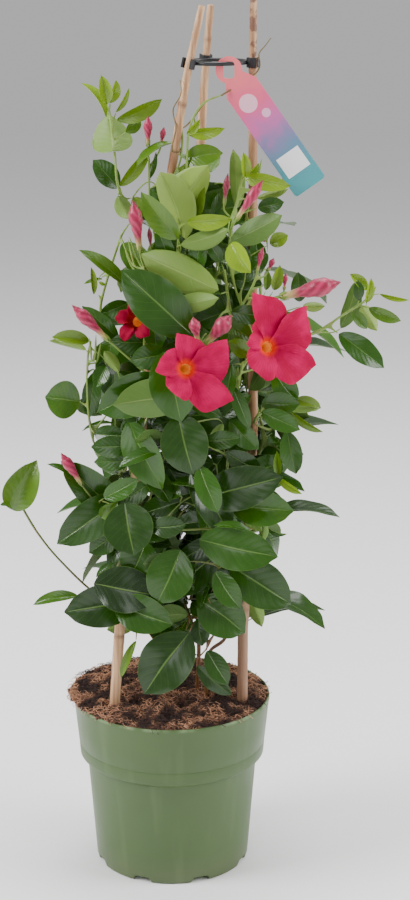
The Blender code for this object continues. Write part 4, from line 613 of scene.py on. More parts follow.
def clip_wall(middle, axis, outward_way, inner, height):
    """A C of wall round a cane, its lips flared and its edges eased."""
    side = axis.cross(outward_way).normalized()
    front = side.cross(axis)
    verts, faces = [], []
    for z, ease in ((-0.5, 0.35), (-0.46, 0.0), (0.46, 0.0), (0.5, 0.35)):
        for i in range(CLIP_STEPS + 1):
            angle = CLIP_MOUTH / 2 + (math.tau - CLIP_MOUTH) * i / CLIP_STEPS
            way = front * math.cos(angle) + side * math.sin(angle)
            flare = 1.2 * MM * max(0.0, 1 - min(i, CLIP_STEPS - i) / 3.5)
            for radius in (inner + ease * MM, inner + CLIP_WALL - ease * MM):
                verts.append(middle + way * (radius + flare) + axis * (z * height))
    row = 2 * (CLIP_STEPS + 1)
    for r in range(3):
        for i in range(CLIP_STEPS):
            a, b = r * row + 2 * i, r * row + 2 * i + 1
            faces += [(a, a + 2, a + 2 + row, a + row), (b, b + row, b + 2 + row, b + 2)]
        a, b = r * row, r * row + row - 2
        faces += [(a, a + row, a + row + 1, a + 1), (b, b + 1, b + 1 + row, b + row)]
    for i in range(CLIP_STEPS):
        a, b = 2 * i, 3 * row + 2 * i
        faces += [(a, a + 1, a + 3, a + 2), (b, b + 2, b + 3, b + 1)]
    return verts, faces


def join(verts, faces, more_verts, more_faces):
    """Adds a second mesh's points and faces to the first one's."""
    faces += [tuple(i + len(verts) for i in face) for face in more_faces]
    verts += more_verts


def hoop(name, height, clip_height):
    """One ring whose clips hold the canes at this height: its middle and the radius of its bar."""
    points = [at_height(path, height) for path in cane_paths.values()]
    middle = circle_middle(*points)
    fit = cane_radius(height) + CLIP_PLAY
    radius = (points[0] - middle).length - fit - RING_BAR - BAR_SET_IN
    verts, faces = [], []
    for i in range(RING_AROUND):
        a = math.tau * i / RING_AROUND
        for k in range(BAR_SIDES):
            b = math.tau * k / BAR_SIDES
            r = radius + RING_BAR * math.cos(b)
            verts.append(middle + Vector((r * math.cos(a), r * math.sin(a), RING_BAR * math.sin(b))))
            here, after = i * BAR_SIDES, (i + 1) % RING_AROUND * BAR_SIDES
            up = (k + 1) % BAR_SIDES
            faces.append((here + k, after + k, after + up, here + up))
    for point, path in zip(points, cane_paths.values()):
        axis = (at_height(path, height + 10 * MM) - point).normalized()
        join(verts, faces, *clip_wall(point, axis, point - middle, fit, clip_height))
    ring = shown("clip_" + name, verts, faces, [black_plastic])
    outward(ring)
    ring.data.set_sharp_from_angle(angle=math.radians(35))
    fitted(ring, "ring", name)
    return middle, radius


top_middle, top_radius = hoop("ring_top", TOP_RING_HEIGHT, TOP_CLIP)
hoop("ring_middle", MIDDLE_RING_HEIGHT, MIDDLE_CLIP)

# The tag: a printed strip of stiff plastic card with a round head, hung by its eye on the top ring. Its
# print is a plain wash of coral, lilac and teal with two pale discs and a white panel.
TAG_WIDTH, TAG_LENGTH, TAG_HEAD = 28.6, 112.0, 10.6
TAG_SHOULDER, TAG_CORNER = 17.0, 2.5
TAG_EYE, EYE_CORNER = (4.5, 6.6), 2.4
TAG_HALF_THICKNESS, TAG_EDGE = 0.36, 0.04
TAG_TURN, TAG_DROOP = math.radians(-33), math.radians(-54)
TAG_PLACE = 294.0


def arc(middle, radius, start, end, count):
    """Points along an arc from one angle to another."""
    return [Vector(middle) + Vector((math.cos(a), math.sin(a))) * radius
            for a in (start + (end - start) * i / count for i in range(count + 1))]


half = TAG_WIDTH / 2
strip = arc((0, 0), TAG_HEAD, math.radians(50), math.radians(310), 40) + [Vector((TAG_SHOULDER, -half))]
strip += arc((TAG_LENGTH - TAG_CORNER, TAG_CORNER - half), TAG_CORNER, -math.pi / 2, 0, 8)
strip += arc((TAG_LENGTH - TAG_CORNER, half - TAG_CORNER), TAG_CORNER, 0, math.pi / 2, 8)
strip += [Vector((TAG_SHOULDER, half))]
droop = Matrix.Rotation(TAG_DROOP, 2)
eye = []
for i, corner in enumerate(((2.1, 4.2), (-2.1, 4.2), (-2.1, -4.2), (2.1, -4.2))):
    eye += arc(corner, EYE_CORNER, i * math.pi / 2, (i + 1) * math.pi / 2, 6)
outline = bpy.data.curves.new("tag_outline", "CURVE")
outline.dimensions = "2D"
outline.fill_mode = "BOTH"
outline.extrude = TAG_HALF_THICKNESS
outline.bevel_depth = TAG_EDGE
for edge in ([droop @ p for p in strip], eye):
    spline = outline.splines.new("POLY")
    spline.points.add(len(edge) - 1)
    for point, place in zip(spline.points, edge):
        point.co = (place.x, place.y, 0, 1)
    spline.use_cyclic_u = True
card = settled(placed("hang_tag", outline))

printed, tree, shader = new_finish("printed_card", Roughness=0.3, Coat_Weight=0.25, Coat_Roughness=0.2)
where = mark_of(tree, "on_tag")
along = part_of(tree, where, "X")
across = part_of(tree, where, "Y")
drift = speckle(tree, 0.07, 2.0, vector=where)
mixed = sums(tree, "ADD", along, sums(tree, "MULTIPLY", sums(tree, "SUBTRACT", drift, 0.5), 26.0))
wash = put(tree, "ShaderNodeValToRGB", {"Fac": faded(tree, mixed, 0.0, TAG_LENGTH)})
stops = wash.node.color_ramp.elements
stops[0].position, stops[0].color = 0.0, ink(232, 110, 118)
stops[1].position, stops[1].color = 1.0, ink(66, 150, 156)
for place, colour in ((0.2, ink(222, 84, 128)), (0.42, ink(196, 96, 158)), (0.62, ink(128, 116, 160)),
                      (0.8, ink(92, 130, 156))):
    stops.new(place).color = colour


def box_mask(middle, half_length, half_width):
    """One inside an upright panel on the tag, and none outside."""
    away = [sums(tree, "ABSOLUTE", sums(tree, "SUBTRACT", value, place))
            for value, place in ((along, middle[0]), (across, middle[1]))]
    inside = [sums(tree, "LESS_THAN", value, limit) for value, limit in zip(away, (half_length, half_width))]
    return sums(tree, "MULTIPLY", *inside)


def disc_mask(middle, radius):
    """One inside a disc on the tag, and none outside."""
    gap = put(tree, "ShaderNodeVectorMath", {0: where, 1: (*middle, 0)}, output="Value",
              operation="DISTANCE")
    return sums(tree, "LESS_THAN", gap, radius)


large_disc = sums(tree, "MULTIPLY", disc_mask((30.0, -2.5), 7.4), 0.8)
small_disc = sums(tree, "MULTIPLY", disc_mask((44.0, 5.0), 3.6), 0.6)
colour = blended(tree, large_disc, wash, ink(232, 190, 206))
colour = blended(tree, small_disc, colour, ink(236, 200, 222))
colour = blended(tree, box_mask((88.0, 0.0), 9.0, 10.4), colour, ink(238, 238, 240))
tree.links.new(colour, shader.inputs["Base Color"])
raised(tree, shader, speckle(tree, 500.0, 2.0), 0.00003)
card.data.materials.clear()
card.data.materials.append(printed)
marked(card.data, "on_tag", [tuple(droop.transposed() @ vert.co.xy) for vert in card.data.vertices])
turn = math.radians(TAG_PLACE)
bar = top_middle + Vector((math.cos(turn), math.sin(turn), 0)) * top_radius
tangent = turn + math.pi / 2 + TAG_TURN
across_way = Vector((math.cos(tangent), math.sin(tangent), 0))
face_way = across_way.cross(Vector((0, 0, 1)))
hang = bar - Vector((0, 0, TAG_EYE[1] * MM - RING_BAR - CLIP_PLAY))
card.data.transform(Matrix((
    (across_way.x * MM, 0, face_way.x * MM, hang.x), (across_way.y * MM, 0, face_way.y * MM, hang.y),
    (0, MM, 0, hang.z), (0, 0, 0, 1))))
outward(card)
fitted(card, "tag", "tag")

# The leafy stems: twining vines, woody near the soil and green higher up, with thick glossy oval leaves,
# dark when old and yellow-green when young. Each leaf is rebuilt over the plain blade that it stands for,
# whose tip is a point with six neighbours, and the rest of the plain mesh becomes the stems.
RIM_GAP = 0.8
FINE_GRID, SMALL_GRID, SMALL_LEAF = (22, 12), (12, 6), 13 * MM
SCRAP_SLACK = 3.0
FOLD_AT_REST, FOLD_WHEN_YOUNG = 12.0, 26.0


def half_breadth(t):
    """A leaf's half breadth along its length, as a share of its widest."""
    if not 0 < t < 1:
        return 0.0
    return math.sin(math.pi * t ** 0.85) ** 0.75 * (1.06 - 0.2 * t)


def fine_breadth(t):
    """The same for a finished blade: fuller towards the end, then drawn to a short point."""
    if not 0 < t < 1:
        return 0.0
    drawn = max(0.0, min(1.0, (t - 0.86) / 0.12))
    return 1.04 * math.sin(math.pi * t ** 0.9) ** 0.64 * (1 - 0.4 * drawn * drawn * (3 - 2 * drawn))


def round_about(vert):
    """The vertex's neighbours in order round it."""
    first = loop = vert.link_loops[0]
    ring = []
    while not ring or loop != first:
        ring.append(loop.link_loop_next.vert.co)
        loop = loop.link_loop_prev.link_loop_radial_next
    return ring


def blade_at(tip, ring):
    """The blade whose last six edge points are the ring, as its base, axes, length, width and youth."""
    gaps = [(ring[i] - ring[(i + 1) % 6]).length / MM for i in range(6)]
    turns = [k for k in range(3) if abs(gaps[k] - RIM_GAP) < 0.06 and abs(gaps[k + 3] - RIM_GAP) < 0.06]
    if not turns:
        return None
    rim, rim_under, mid_under, far_under, far, mid = [ring[(turns[0] + i) % 6] for i in range(6)]
    if abs((mid_under - mid).length / MM - RIM_GAP) > 0.06:
        return None
    left, right, middle = (rim + rim_under) / 2, (far + far_under) / 2, (mid + mid_under) / 2
    normal = (mid_under - mid).normalized()
    if ((left + right) / 2 - middle).dot(normal) < 0:
        normal = -normal
    half = ((left - middle).length + (right - middle).length) / 2
    fold = math.asin(min(1.0, ((left + right) / 2 - middle).dot(normal) / half))
    young = (math.degrees(fold) - FOLD_AT_REST) / FOLD_WHEN_YOUNG
    arch = 0.07 + 0.05 * young
    for share in (0.83, 0.73, 0.45):
        bend = 4 * arch * share
        length = (tip - middle).length / ((1 - share) * math.sqrt(1 + bend ** 2))
        width = 2 * half / half_breadth(share)
        if share == (0.83 if width > 30 * MM else 0.73 if length > 13 * MM else 0.45):
            axis = ((tip - middle) / (length * (1 - share)) + normal * bend).normalized()
            return tip - axis * length, axis, normal, length, width, max(0.0, min(1.0, young))
    return None


def within(blade, point, slack=1.0):
    """Whether a point of the plain mesh belongs to this blade."""
    base, axis, normal, length, width, young = blade
    gap = point - base
    t = gap.dot(axis) / length
    aside = abs(gap.dot(axis.cross(normal)))
    if not 0.06 < t < 1.02 or aside > half_breadth(min(t, 0.99)) * width / 2 + 0.7 * slack * MM:
        return False
    fold = math.radians(FOLD_AT_REST + FOLD_WHEN_YOUNG * young)
    rise = (0.07 + 0.05 * young) * length * 4 * t * (1 - t) + aside * math.tan(fold)
    return abs(gap.dot(normal) - rise) < 1.3 * slack * MM


def blade_grid(blade, seed, rows, columns):
    """A leaf's points over its upper face and then its lower one, with where each lies on it."""
    base, axis, normal, length, width, young = blade
    side = axis.cross(normal)
    draw = random.Random(seed)
    fold = math.radians(FOLD_AT_REST + FOLD_WHEN_YOUNG * young)
    arch = (0.07 + 0.05 * young) * length
    ripple, phase = draw.uniform(0.02, 0.055) * (1.3 - young), draw.uniform(0, math.tau)
    skew = draw.uniform(-0.03, 0.03)
    upper, lower, places = [], [], []
    for i in range(rows + 1):
        s = i / rows
        t = 0.45 * s + 0.55 * (1 - math.cos(math.pi * s)) / 2
        half = max(0.45 * MM if t < 0.5 else 0.12 * MM, fine_breadth(t) * width / 2)
        middle = base + axis * (length * t) + normal * (arch * 4 * t * (1 - t))
        middle += side * (skew * width * math.sin(math.pi * t) ** 2)
        for j in range(columns + 1):
            u = -1 + 2 * j / columns
            away = abs(u)
            lift = half * math.sin(fold) * (math.sqrt(away ** 2 + 0.05) - 0.2236) / 0.801
            lift -= 0.05 * half * (1 - young) * away ** 4
            wave = ripple * half * away ** 2 * math.sin(13 * t + phase + (2.1 if u > 0 else 0.0))
            place = middle + side * (u * half * math.cos(fold)) + normal * (lift + wave)
            thick = (0.34 if away < 0.99 else 0.12) * MM * min(1.0, 8 * (1 - t) + 0.2)
            if away < 0.1:
                place = place - normal * (0.14 * MM)
                thick += 0.25 * MM * (1 - t)
            upper.append(place)
            lower.append(place - normal * thick)
            places.append(((u + 1) / 2, t))
    return upper + lower, places + places


def blade_skin(rows, columns):
    """The faces over such a grid: the upper ones, the lower ones, and a rim round both."""
    across = columns + 1
    under = (rows + 1) * across
    upper, lower, rim = [], [], []
    for i in range(rows):
        for j in range(columns):
            a = i * across + j
            upper.append((a, a + 1, a + 1 + across, a + across))
            lower.append(tuple(under + k for k in (a, a + across, a + 1 + across, a + 1)))
        for a, b in ((i * across, (i + 1) * across), ((i + 1) * across + columns, i * across + columns)):
            rim.append((a, b, b + under, a + under))
    for j in range(columns):
        rim += [(j + 1, j, j + under, j + 1 + under)]
        a = rows * across + j
        rim += [(a, a + 1, a + 1 + under, a + under)]
    return upper, lower, rim


def leaf_finish(name, deep, mid, fresh, rib, gloss):
    """Leaf skin: its green goes by the leaf's own age, with a pale midrib and finer side veins."""
    finish, tree, shader = new_finish(name, Roughness=gloss, IOR=1.47)
    place = mark_of(tree, "on_leaf")
    across = part_of(tree, place, "X")
    along = part_of(tree, place, "Y")
    away = sums(tree, "ABSOLUTE", sums(tree, "MULTIPLY", sums(tree, "SUBTRACT", across, 0.5), 2.0))
    age = mark_of(tree, "freshness", "Fac")
    mottle = speckle(tree, 95.0, 4.0)
    ripe = sums(tree, "ADD", age, sums(tree, "MULTIPLY", sums(tree, "SUBTRACT", mottle, 0.5), 0.16))
    greens = put(tree, "ShaderNodeValToRGB", {"Fac": ripe})
    stops = greens.node.color_ramp.elements
    stops[0].position, stops[0].color = 0.0, ink(*deep)
    stops[1].position, stops[1].color = 1.0, ink(*fresh)
    stops.new(0.45).color = ink(*mid)
    phase = sums(tree, "SUBTRACT", sums(tree, "MULTIPLY", along, 8.0), sums(tree, "MULTIPLY", away, 2.3))
    comb = sums(tree, "PINGPONG", phase, 0.5)
    vein = sums(tree, "MULTIPLY", faded(tree, comb, 0.06, 0.0), faded(tree, away, 0.98, 0.6))
    midrib = faded(tree, away, 0.05, 0.012)
    edge = faded(tree, away, 0.95, 1.0, 0.0, 0.4)
    lines = sums(tree, "MAXIMUM", sums(tree, "MAXIMUM", midrib, sums(tree, "MULTIPLY", vein, 0.2)), edge)
    colour = blended(tree, sums(tree, "MULTIPLY", lines, 0.5), greens, ink(*rib))
    tree.links.new(colour, shader.inputs["Base Color"])
    tree.links.new(faded(tree, mottle, 0.3, 0.7, gloss - 0.02, gloss + 0.05), shader.inputs["Roughness"])
    quilt = sums(tree, "ADD", sums(tree, "MULTIPLY", comb, 0.5), sums(tree, "MULTIPLY", mottle, 0.08))
    raised(tree, shader, sums(tree, "SUBTRACT", quilt, midrib), 0.0005, 0.5)
    return finish


leaf_upper = leaf_finish("leaf_upper", (18, 42, 4), (46, 88, 8), (130, 160, 26), (104, 138, 54), 0.22)
leaf_under = leaf_finish("leaf_under", (62, 92, 36), (88, 122, 46), (136, 162, 62), (150, 172, 96), 0.5)
green_stem, tree, shader = new_finish("green_stem", Roughness=0.45)
height = part_of(tree, place_of(tree), "Z")
ridges = speckle(tree, 220.0, 3.0)
colour = blended(tree, faded(tree, height, 0.2, 0.55), ink(74, 84, 36), ink(122, 152, 62))
colour = blended(tree, faded(tree, height, 0.3, 0.2, 0.0, 0.85), colour, ink(112, 66, 40))
colour = blended(tree, faded(tree, ridges, 0.5, 0.75, 0.0, 0.55), colour, ink(134, 108, 60))
tree.links.new(colour, shader.inputs["Base Color"])
raised(tree, shader, ridges, 0.0003)


class Foliage:
    """Leaves gathered into one mesh, each face with its finish and each point with its place."""

    def __init__(self):
        self.verts, self.faces, self.kinds, self.places, self.fresh = [], [], [], [], []

    def leaf(self, blade, seed, fine=True):
        width, young = blade[4], blade[5]
        rows, columns = FINE_GRID if fine and width > SMALL_LEAF else SMALL_GRID
        points, places = blade_grid(blade, seed, rows, columns)
        upper, lower, rim = blade_skin(rows, columns)
        kinds = [1] * len(upper) + [2] * (len(lower) + len(rim))
        tone = random.Random(seed + "tone").uniform(-0.16, 0.2)
        height = max(0.0, min(1.0, (blade[0].z - 0.3) / 0.34))
        fresh = max(0.0, min(1.0, 0.62 * young + 0.3 * height + tone + 0.1))
        self.add(points, upper + lower + rim, kinds, places, fresh)

    def add(self, verts, faces, kinds, places, fresh=0.5):
        join(self.verts, self.faces, verts, faces)
        self.kinds += kinds
        self.places += places
        self.fresh += [fresh] * len(verts)

    def piece(self, name):
        made = shown(name, self.verts, self.faces, [green_stem, leaf_upper, leaf_under])
        made.data.polygons.foreach_set("material_index", self.kinds)
        marked(made.data, "on_leaf", self.places)
        marked(made.data, "freshness", self.fresh)
        made.data.set_sharp_from_angle(angle=math.radians(60))
        return made


def stem_left(form, blades):
    """The plain mesh without its blades, rounded off: its stems and stalks alone."""
    gone = [v for v in form.verts if any(within(blade, v.co) for blade in blades)]
    bmesh.ops.delete(form, geom=gone, context="VERTS")
    bmesh.ops.delete(form, geom=[v for v in form.verts if not v.link_faces], context="VERTS")
    for vert in form.verts:
        vert.tag = False
    scraps = []
    for first in form.verts:
        if first.tag:
            continue
        island = [first]
        first.tag = True
        for vert in island:
            for edge in vert.link_edges:
                other = edge.other_vert(vert)
                if not other.tag:
                    other.tag = True
                    island.append(other)
        if any(all(within(blade, v.co, SCRAP_SLACK) for v in island) for blade in blades):
            scraps += island
    bmesh.ops.delete(form, geom=scraps, context="VERTS")
    bmesh.ops.holes_fill(form, edges=[e for e in form.edges if e.is_boundary], sides=0)
    bmesh.ops.triangulate(form, faces=[f for f in form.faces if len(f.verts) > 4])
    mesh = bpy.data.meshes.new("stems")
    form.to_mesh(mesh)
    stems = placed("stems", mesh)
    smooth = stems.modifiers.new("smooth", "SUBSURF")
    smooth.levels = smooth.render_levels = 2
    stems = settled(stems)
    verts = [v.co.copy() for v in stems.data.vertices]
    faces = [tuple(p.vertices) for p in stems.data.polygons]
    bpy.data.objects.remove(stems)
    return verts, faces


stem_points = []
for name, node in sorted(frame["nodes"].items()):
    if not name.startswith(("vine_", "shoot_")):
        continue
    form = bmesh.new()
    form.from_mesh(node.data)
    bmesh.ops.remove_doubles(form, verts=form.verts, dist=0.002 * MM)
    blades = []
    for vert in form.verts:
        ring = round_about(vert) if len(vert.link_edges) == 6 else []
        blade = blade_at(vert.co, ring) if len(ring) == 6 else None
        if blade:
            blades.append(blade)
    foliage = Foliage()
    verts, faces = stem_left(form, blades)
    form.free()
    foliage.add(verts, faces, [0] * len(faces), [(0.5, 0.5)] * len(verts))
    stem_points += verts[::4]
    for number, blade in enumerate(blades):
        foliage.leaf(blade, f"{name} {number}")
    fitted(foliage.piece("leafy_" + name), "leaf" if name.startswith("shoot_") else "vine", name)

# The buds: each a long furled trumpet, its petals wound round each other, cream-green at the foot and
# rose to crimson towards a fine point, held in five small green sepals.
def petal_finish(name, foot, body, deep, tip, gloss):
    """Furled petal: spiral bands of two pinks over a cream foot."""
    finish, tree, shader = new_finish(name, Roughness=gloss, Sheen_Weight=0.2)
    place = mark_of(tree, "on_bud")
    turn = part_of(tree, place, "X")
    along = part_of(tree, place, "Y")
    streak = speckle(tree, 500.0, 3.0)
    band = sums(tree, "ADD", sums(tree, "PINGPONG", turn, 0.1), sums(tree, "MULTIPLY", streak, 0.03))
    colour = blended(tree, faded(tree, band, 0.03, 0.12), ink(*deep), ink(*body))
    colour = blended(tree, faded(tree, along, 0.8, 1.0), colour, ink(*tip))
    colour = blended(tree, faded(tree, along, 0.34, 0.08), colour, ink(*foot))
    tree.links.new(colour, shader.inputs["Base Color"])
    raised(tree, shader, streak, 0.0003)
    return finish


bud_petal = petal_finish("furled_petal", (186, 172, 104), (184, 30, 84), (140, 0, 52), (128, 0, 42), 0.4)
# A darker copy of the bud finish: painted shade for the buds that sit in shadow, and the brown bud's own
# browning.
shaded_and_browned_petal = petal_finish("furled_dark", (140, 138, 88), (140, 30, 56), (100, 0, 32), (76, 4, 26), 0.45)
BUD_GRID = (30, 34)
BUD_TWIST = 0.9
SHADED_AND_BROWNED_BUDS = ("bud_upper_dark", "bud_brown", "bud_behind_leaf")
BUD_PROFILE = ((0.0, 0.0), (0.001, 0.2), (0.12, 0.2), (0.3, 0.25), (0.45, 0.38), (0.62, 0.5), (0.74, 0.46),
               (0.86, 0.27), (0.95, 0.11), (0.995, 0.03), (1.0, 0.0))


def furled(base, tip, width):
    """A furled bud's points and faces, and for each corner of a face its place round and along."""
    axis = (tip - base).normalized()
    side = axis.orthogonal().normalized()
    other = axis.cross(side)
    length = (tip - base).length
    around, along = BUD_GRID
    verts, faces, places = [], [], []
    for i in range(along + 1):
        t = i / along
        low = max(p for p in BUD_PROFILE[:-1] if p[0] <= t)
        high = BUD_PROFILE[BUD_PROFILE.index(low) + 1]
        share = (t - low[0]) / (high[0] - low[0])
        radius = width * (low[1] + (high[1] - low[1]) * (share * share * (3 - 2 * share)))
        radius = max(radius, 0.75 * MM if 0 < i < 0.4 * along else 0.1 * MM)
        for k in range(around):
            angle = math.tau * k / around
            wound = (angle / math.tau + BUD_TWIST * t) * 5
            pleat = 1 + 0.13 * math.sin(math.pi * min(1.0, t * 1.15)) * (abs((wound % 1) - 0.35) - 0.3)
            way = side * math.cos(angle) + other * math.sin(angle)
            verts.append(base + axis * (length * t) + way * (radius * pleat))
    for i in range(along):
        for k in range(around):
            j = (k + 1) % around
            a, b = i * around + k, i * around + j
            faces.append((a, b, b + around, a + around))
            for row, step in ((i, k), (i, k + 1), (i + 1, k + 1), (i + 1, k)):
                places.append((step / around + BUD_TWIST * row / along, row / along))
    faces += [tuple(reversed(range(around))), tuple(range(along * around, (along + 1) * around))]
    places += [(0.0, 0.0)] * around + [(0.0, 1.0)] * around
    return verts, faces, places


SEPAL_ROWS = ((-0.25, 0.25, -0.3), (0.2, 0.55, 0.25), (0.6, 0.34, 0.5), (1.0, 0.03, 0.55))


def sepals(base, axis, reach, radius):
    """Five small pointed sepals that hold the foot of a flower."""
    side = axis.orthogonal().normalized()
    verts, faces = [], []
    for k in range(5):
        turn = Matrix.Rotation(math.tau * k / 5, 3, axis)
        out, across = turn @ side, turn @ axis.cross(side)
        start = len(verts)
        for along, wide, away in SEPAL_ROWS:
            spot = base + axis * (reach * along) + out * (radius + away * MM)
            verts += [spot + across * (wide * radius), spot - across * (wide * radius),
                      spot - out * (0.3 * MM)]
        for r in range(3):
            a = start + 3 * r
            faces += [(a, a + 1, a + 4, a + 3), (a + 1, a + 2, a + 5, a + 4), (a + 2, a, a + 3, a + 5)]
        faces += [(start + 2, start + 1, start), (start + 9, start + 10, start + 11)]
    return verts, faces


def spindle_of(node):
    """The foot, tip and width of a plain bud."""
    places = [v.co.copy() for v in node.data.vertices]
    places = [p for i, p in enumerate(places) if all((p - q).length > 0.01 * MM for q in places[:i])]
    one, other = max(((a, b) for a in places for b in places), key=lambda pair: (pair[0] - pair[1]).length)
    spare = [min((end - p).length for p in places if (end - p).length > 0) for end in (one, other)]
    tip, far = (one, other) if spare[0] > spare[1] else (other, one)
    rough = (far - tip).normalized()
    foot = sum(sorted(places, key=lambda p: (p - tip).dot(rough))[-5:], Vector()) / 5
    axis = (tip - foot).normalized()
    width = 2 * max(((p - foot) - axis * (p - foot).dot(axis)).length for p in places)
    return foot, tip, width


def flower_piece(name, verts, faces, places, kinds, finishes, attribute, domain):
    """A flower as one mesh: each face with its finish, each point or corner with its place."""
    made = shown(name, verts, faces, finishes)
    made.data.polygons.foreach_set("material_index", kinds)
    marked(made.data, attribute, places, domain)
    return made


for name, node in sorted(frame["nodes"].items()):
    if not name.startswith("bud_"):
        continue
    foot, tip, width = spindle_of(node)
    verts, faces, places = furled(foot, tip, width)
    kinds = [0] * len(faces)
    axis = (tip - foot).normalized()
    length = (tip - foot).length
    cup, cup_faces = sepals(foot, axis, min(5.5 * MM, 0.2 * length), max(0.9 * MM, 0.2 * width))
    join(verts, faces, cup, cup_faces)
    kinds += [1] * len(cup_faces)
    places += [(0.0, 0.0)] * sum(len(face) for face in cup_faces)
    # The buds in shadow take the darker finish, which is painted shade; the brown bud takes it for its real
    # browning.
    finish = shaded_and_browned_petal if name in SHADED_AND_BROWNED_BUDS else bud_petal
    bud = flower_piece("furled_" + name, verts, faces, places, kinds, [finish, green_stem],
                       "on_bud", "CORNER")
    outward(bud)
    bud.data.set_sharp_from_angle(angle=math.radians(50))
    fitted(bud, "bud", name)

# The blooms: open trumpets of five broad crimson petals, each with its point to one side and one edge
# lapped over its neighbour, on a narrow tube with an orange throat. Two are half open in the shade.
FRONT_PETALS = ((93, 29), (29, 39), (-46, 44), (-106, 24), (172, 25))
RIGHT_PETALS = ((99, 44), (36, 45), (-27, 42), (-108, 28), (155, 20))
SMALL_PETALS = ((100, 17), (28, 17), (-44, 19), (-116, 19), (172, 17))

# Place across and down the eye's frame, depth, turn to the right and upwards, petals, and whether wide open
BLOOMS = {
    "bloom_front": (187, 369, -102, 12, 0, FRONT_PETALS, True),
    "bloom_right": (270, 346, -88, 24, 8, RIGHT_PETALS, True),
    "bloom_hidden_upper": (156, 284, -42, -26, 24, SMALL_PETALS, False),
    "bloom_hidden_left": (134, 320, -50, -24, 10, SMALL_PETALS, False),
}
SHIFTS = (0, -5, 5, -10, 10, -15, 15, -20, -25, -30, -35)
OPEN_EDGE = ((-0.16, 0.5), (0.0, 0.7), (0.24, 0.84), (0.56, 0.9), (0.72, 0.95), (0.8, 1.0), (0.92, 0.82),
             (1.0, 0.68), (1.12, 0.5))
FURLED_EDGE = ((-0.16, 0.4), (0.0, 0.6), (0.35, 0.86), (0.7, 1.0), (0.9, 0.8), (1.0, 0.62), (1.12, 0.45))
TUBE_SECTION = ((0.0, -18.0), (0.7, -17.6), (1.8, -15.5), (3.1, -11.5), (4.1, -7.2), (4.7, -6.4),
                (5.2, -7.6), (4.4, -12.0), (3.0, -17.0), (2.4, -20.0), (1.9, -26.0), (1.5, -29.4),
                (0.0, -29.7))
TUBE_STEPS, THROAT_RINGS = 28, 5
TUBE_LENGTH, HEART_DEPTH = 29.5 * MM, 13 * MM
PETAL_LAP = 0.34
PETAL_GRID = (32, 20)


def read_off(rows, value):
    """The table's value here, drawn straight from row to row."""
    for (low, first), (high, last) in zip(rows, rows[1:]):
        if value <= high:
            share = max(0.0, (value - low) / (high - low))
            return first + (last - first) * share
    return rows[-1][1]


def petal_sheet(start, end, reach, beside, edge, seed):
    """One petal in the bloom's own frame, in millimetres: its points, faces, places and kinds."""
    draw = random.Random(seed)
    phase, curl = draw.uniform(0, math.tau), draw.uniform(0.5, 1.5)
    across, along = PETAL_GRID
    top, places = [], []
    for i in range(along + 1):
        v = (i / along) ** 0.85
        for j in range(across + 1):
            u = -0.16 + 1.28 * j / across
            angle = math.radians(start + (end - start) * u)
            lapped = max(0.0, min(1.0, 1 - u / 0.3)) * 0.5
            shared = max(0.0, min(1.0, (u - 0.8) / 0.2)) * 0.5
            rim = (reach + (beside[0] - reach) * lapped + (beside[1] - reach) * shared) * read_off(edge, u)
            radius = 4.1 + (rim - 4.1) * v
            height = -7.0 + 9.4 * (1 - math.exp(-3.3 * v * (0.5 + 0.5 * rim / reach)))
            height += 2.2 * (u - 0.5) * min(1.0, 2.2 * v)
            height += 0.06 * reach * math.sin(5.5 * u + phase) * v * v - 2.0 * curl * v ** 4
            height += 0.7 * math.sin(19 * u + 2 * phase) * v ** 3
            top.append(Vector((radius * math.cos(angle), radius * math.sin(angle), height)))
            places.append((u, radius / 45))
    verts = top + [p - Vector((0, 0, 0.5 if 0 < k % (across + 1) < across else 0.25))
                   for k, p in enumerate(top)]
    upper, lower, rim = blade_skin(along, across)
    return verts, upper + lower + rim, places + places, [0] * len(upper) + [1] * (len(lower) + len(rim))


def bloom_frame(turn, lift, throat):
    """The bloom's own axes as columns: its right, its up and the way that it faces."""
    to_eye = (EYE - throat).normalized()
    right = Vector((0, 0, 1)).cross(to_eye).normalized()
    up = to_eye.cross(right)
    swing = Matrix.Rotation(math.radians(turn), 3, up) @ Matrix.Rotation(math.radians(-lift), 3, right)
    return Matrix((swing @ right, swing @ up, swing @ to_eye)).transposed()


def open_petal(name, glow, body, edge, vein, back):
    """Velvety petal: crimson with darker veins that fan out from an orange throat."""
    finish, tree, shader = new_finish(name, Roughness=0.75, Specular_IOR_Level=0.08)
    place = mark_of(tree, "on_petal")
    across = part_of(tree, place, "X")
    out = part_of(tree, place, "Y")
    cloud = speckle(tree, 70.0, 4.0)
    wander = sums(tree, "MULTIPLY", sums(tree, "SUBTRACT", cloud, 0.5), 0.16)
    fan = sums(tree, "PINGPONG", sums(tree, "ADD", sums(tree, "MULTIPLY", across, 13.0), wander), 0.5)
    veins = sums(tree, "MULTIPLY", faded(tree, fan, 0.16, 0.0), faded(tree, out, 0.9, 0.2))
    colour = blended(tree, faded(tree, cloud, 0.35, 0.7), ink(*body), ink(*edge))
    colour = blended(tree, sums(tree, "MULTIPLY", veins, 0.3), colour, ink(*vein))
    colour = blended(tree, faded(tree, out, 0.22, 0.1), colour, ink(*glow))
    if back:
        colour = blended(tree, 0.35, colour, ink(*edge))
    tree.links.new(colour, shader.inputs["Base Color"])
    raised(tree, shader, sums(tree, "ADD", fan, cloud), 0.0005, 0.3)
    return finish


petal_front = open_petal("petal_front", (236, 56, 8), (168, 0, 60), (196, 0, 82), (100, 0, 28), False)
petal_back = open_petal("petal_back", (204, 110, 70), (170, 6, 60), (196, 44, 92), (130, 0, 40), True)
petal_shade = open_petal("petal_shade", (150, 30, 20), (124, 0, 34), (144, 6, 48), (84, 0, 22), False)
throat_gold, tree, shader = new_finish("throat_gold", Roughness=0.6)
height = speckle(tree, 300.0, 2.0)
tree.links.new(blended(tree, height, ink(244, 150, 44), ink(252, 196, 84)), shader.inputs["Base Color"])

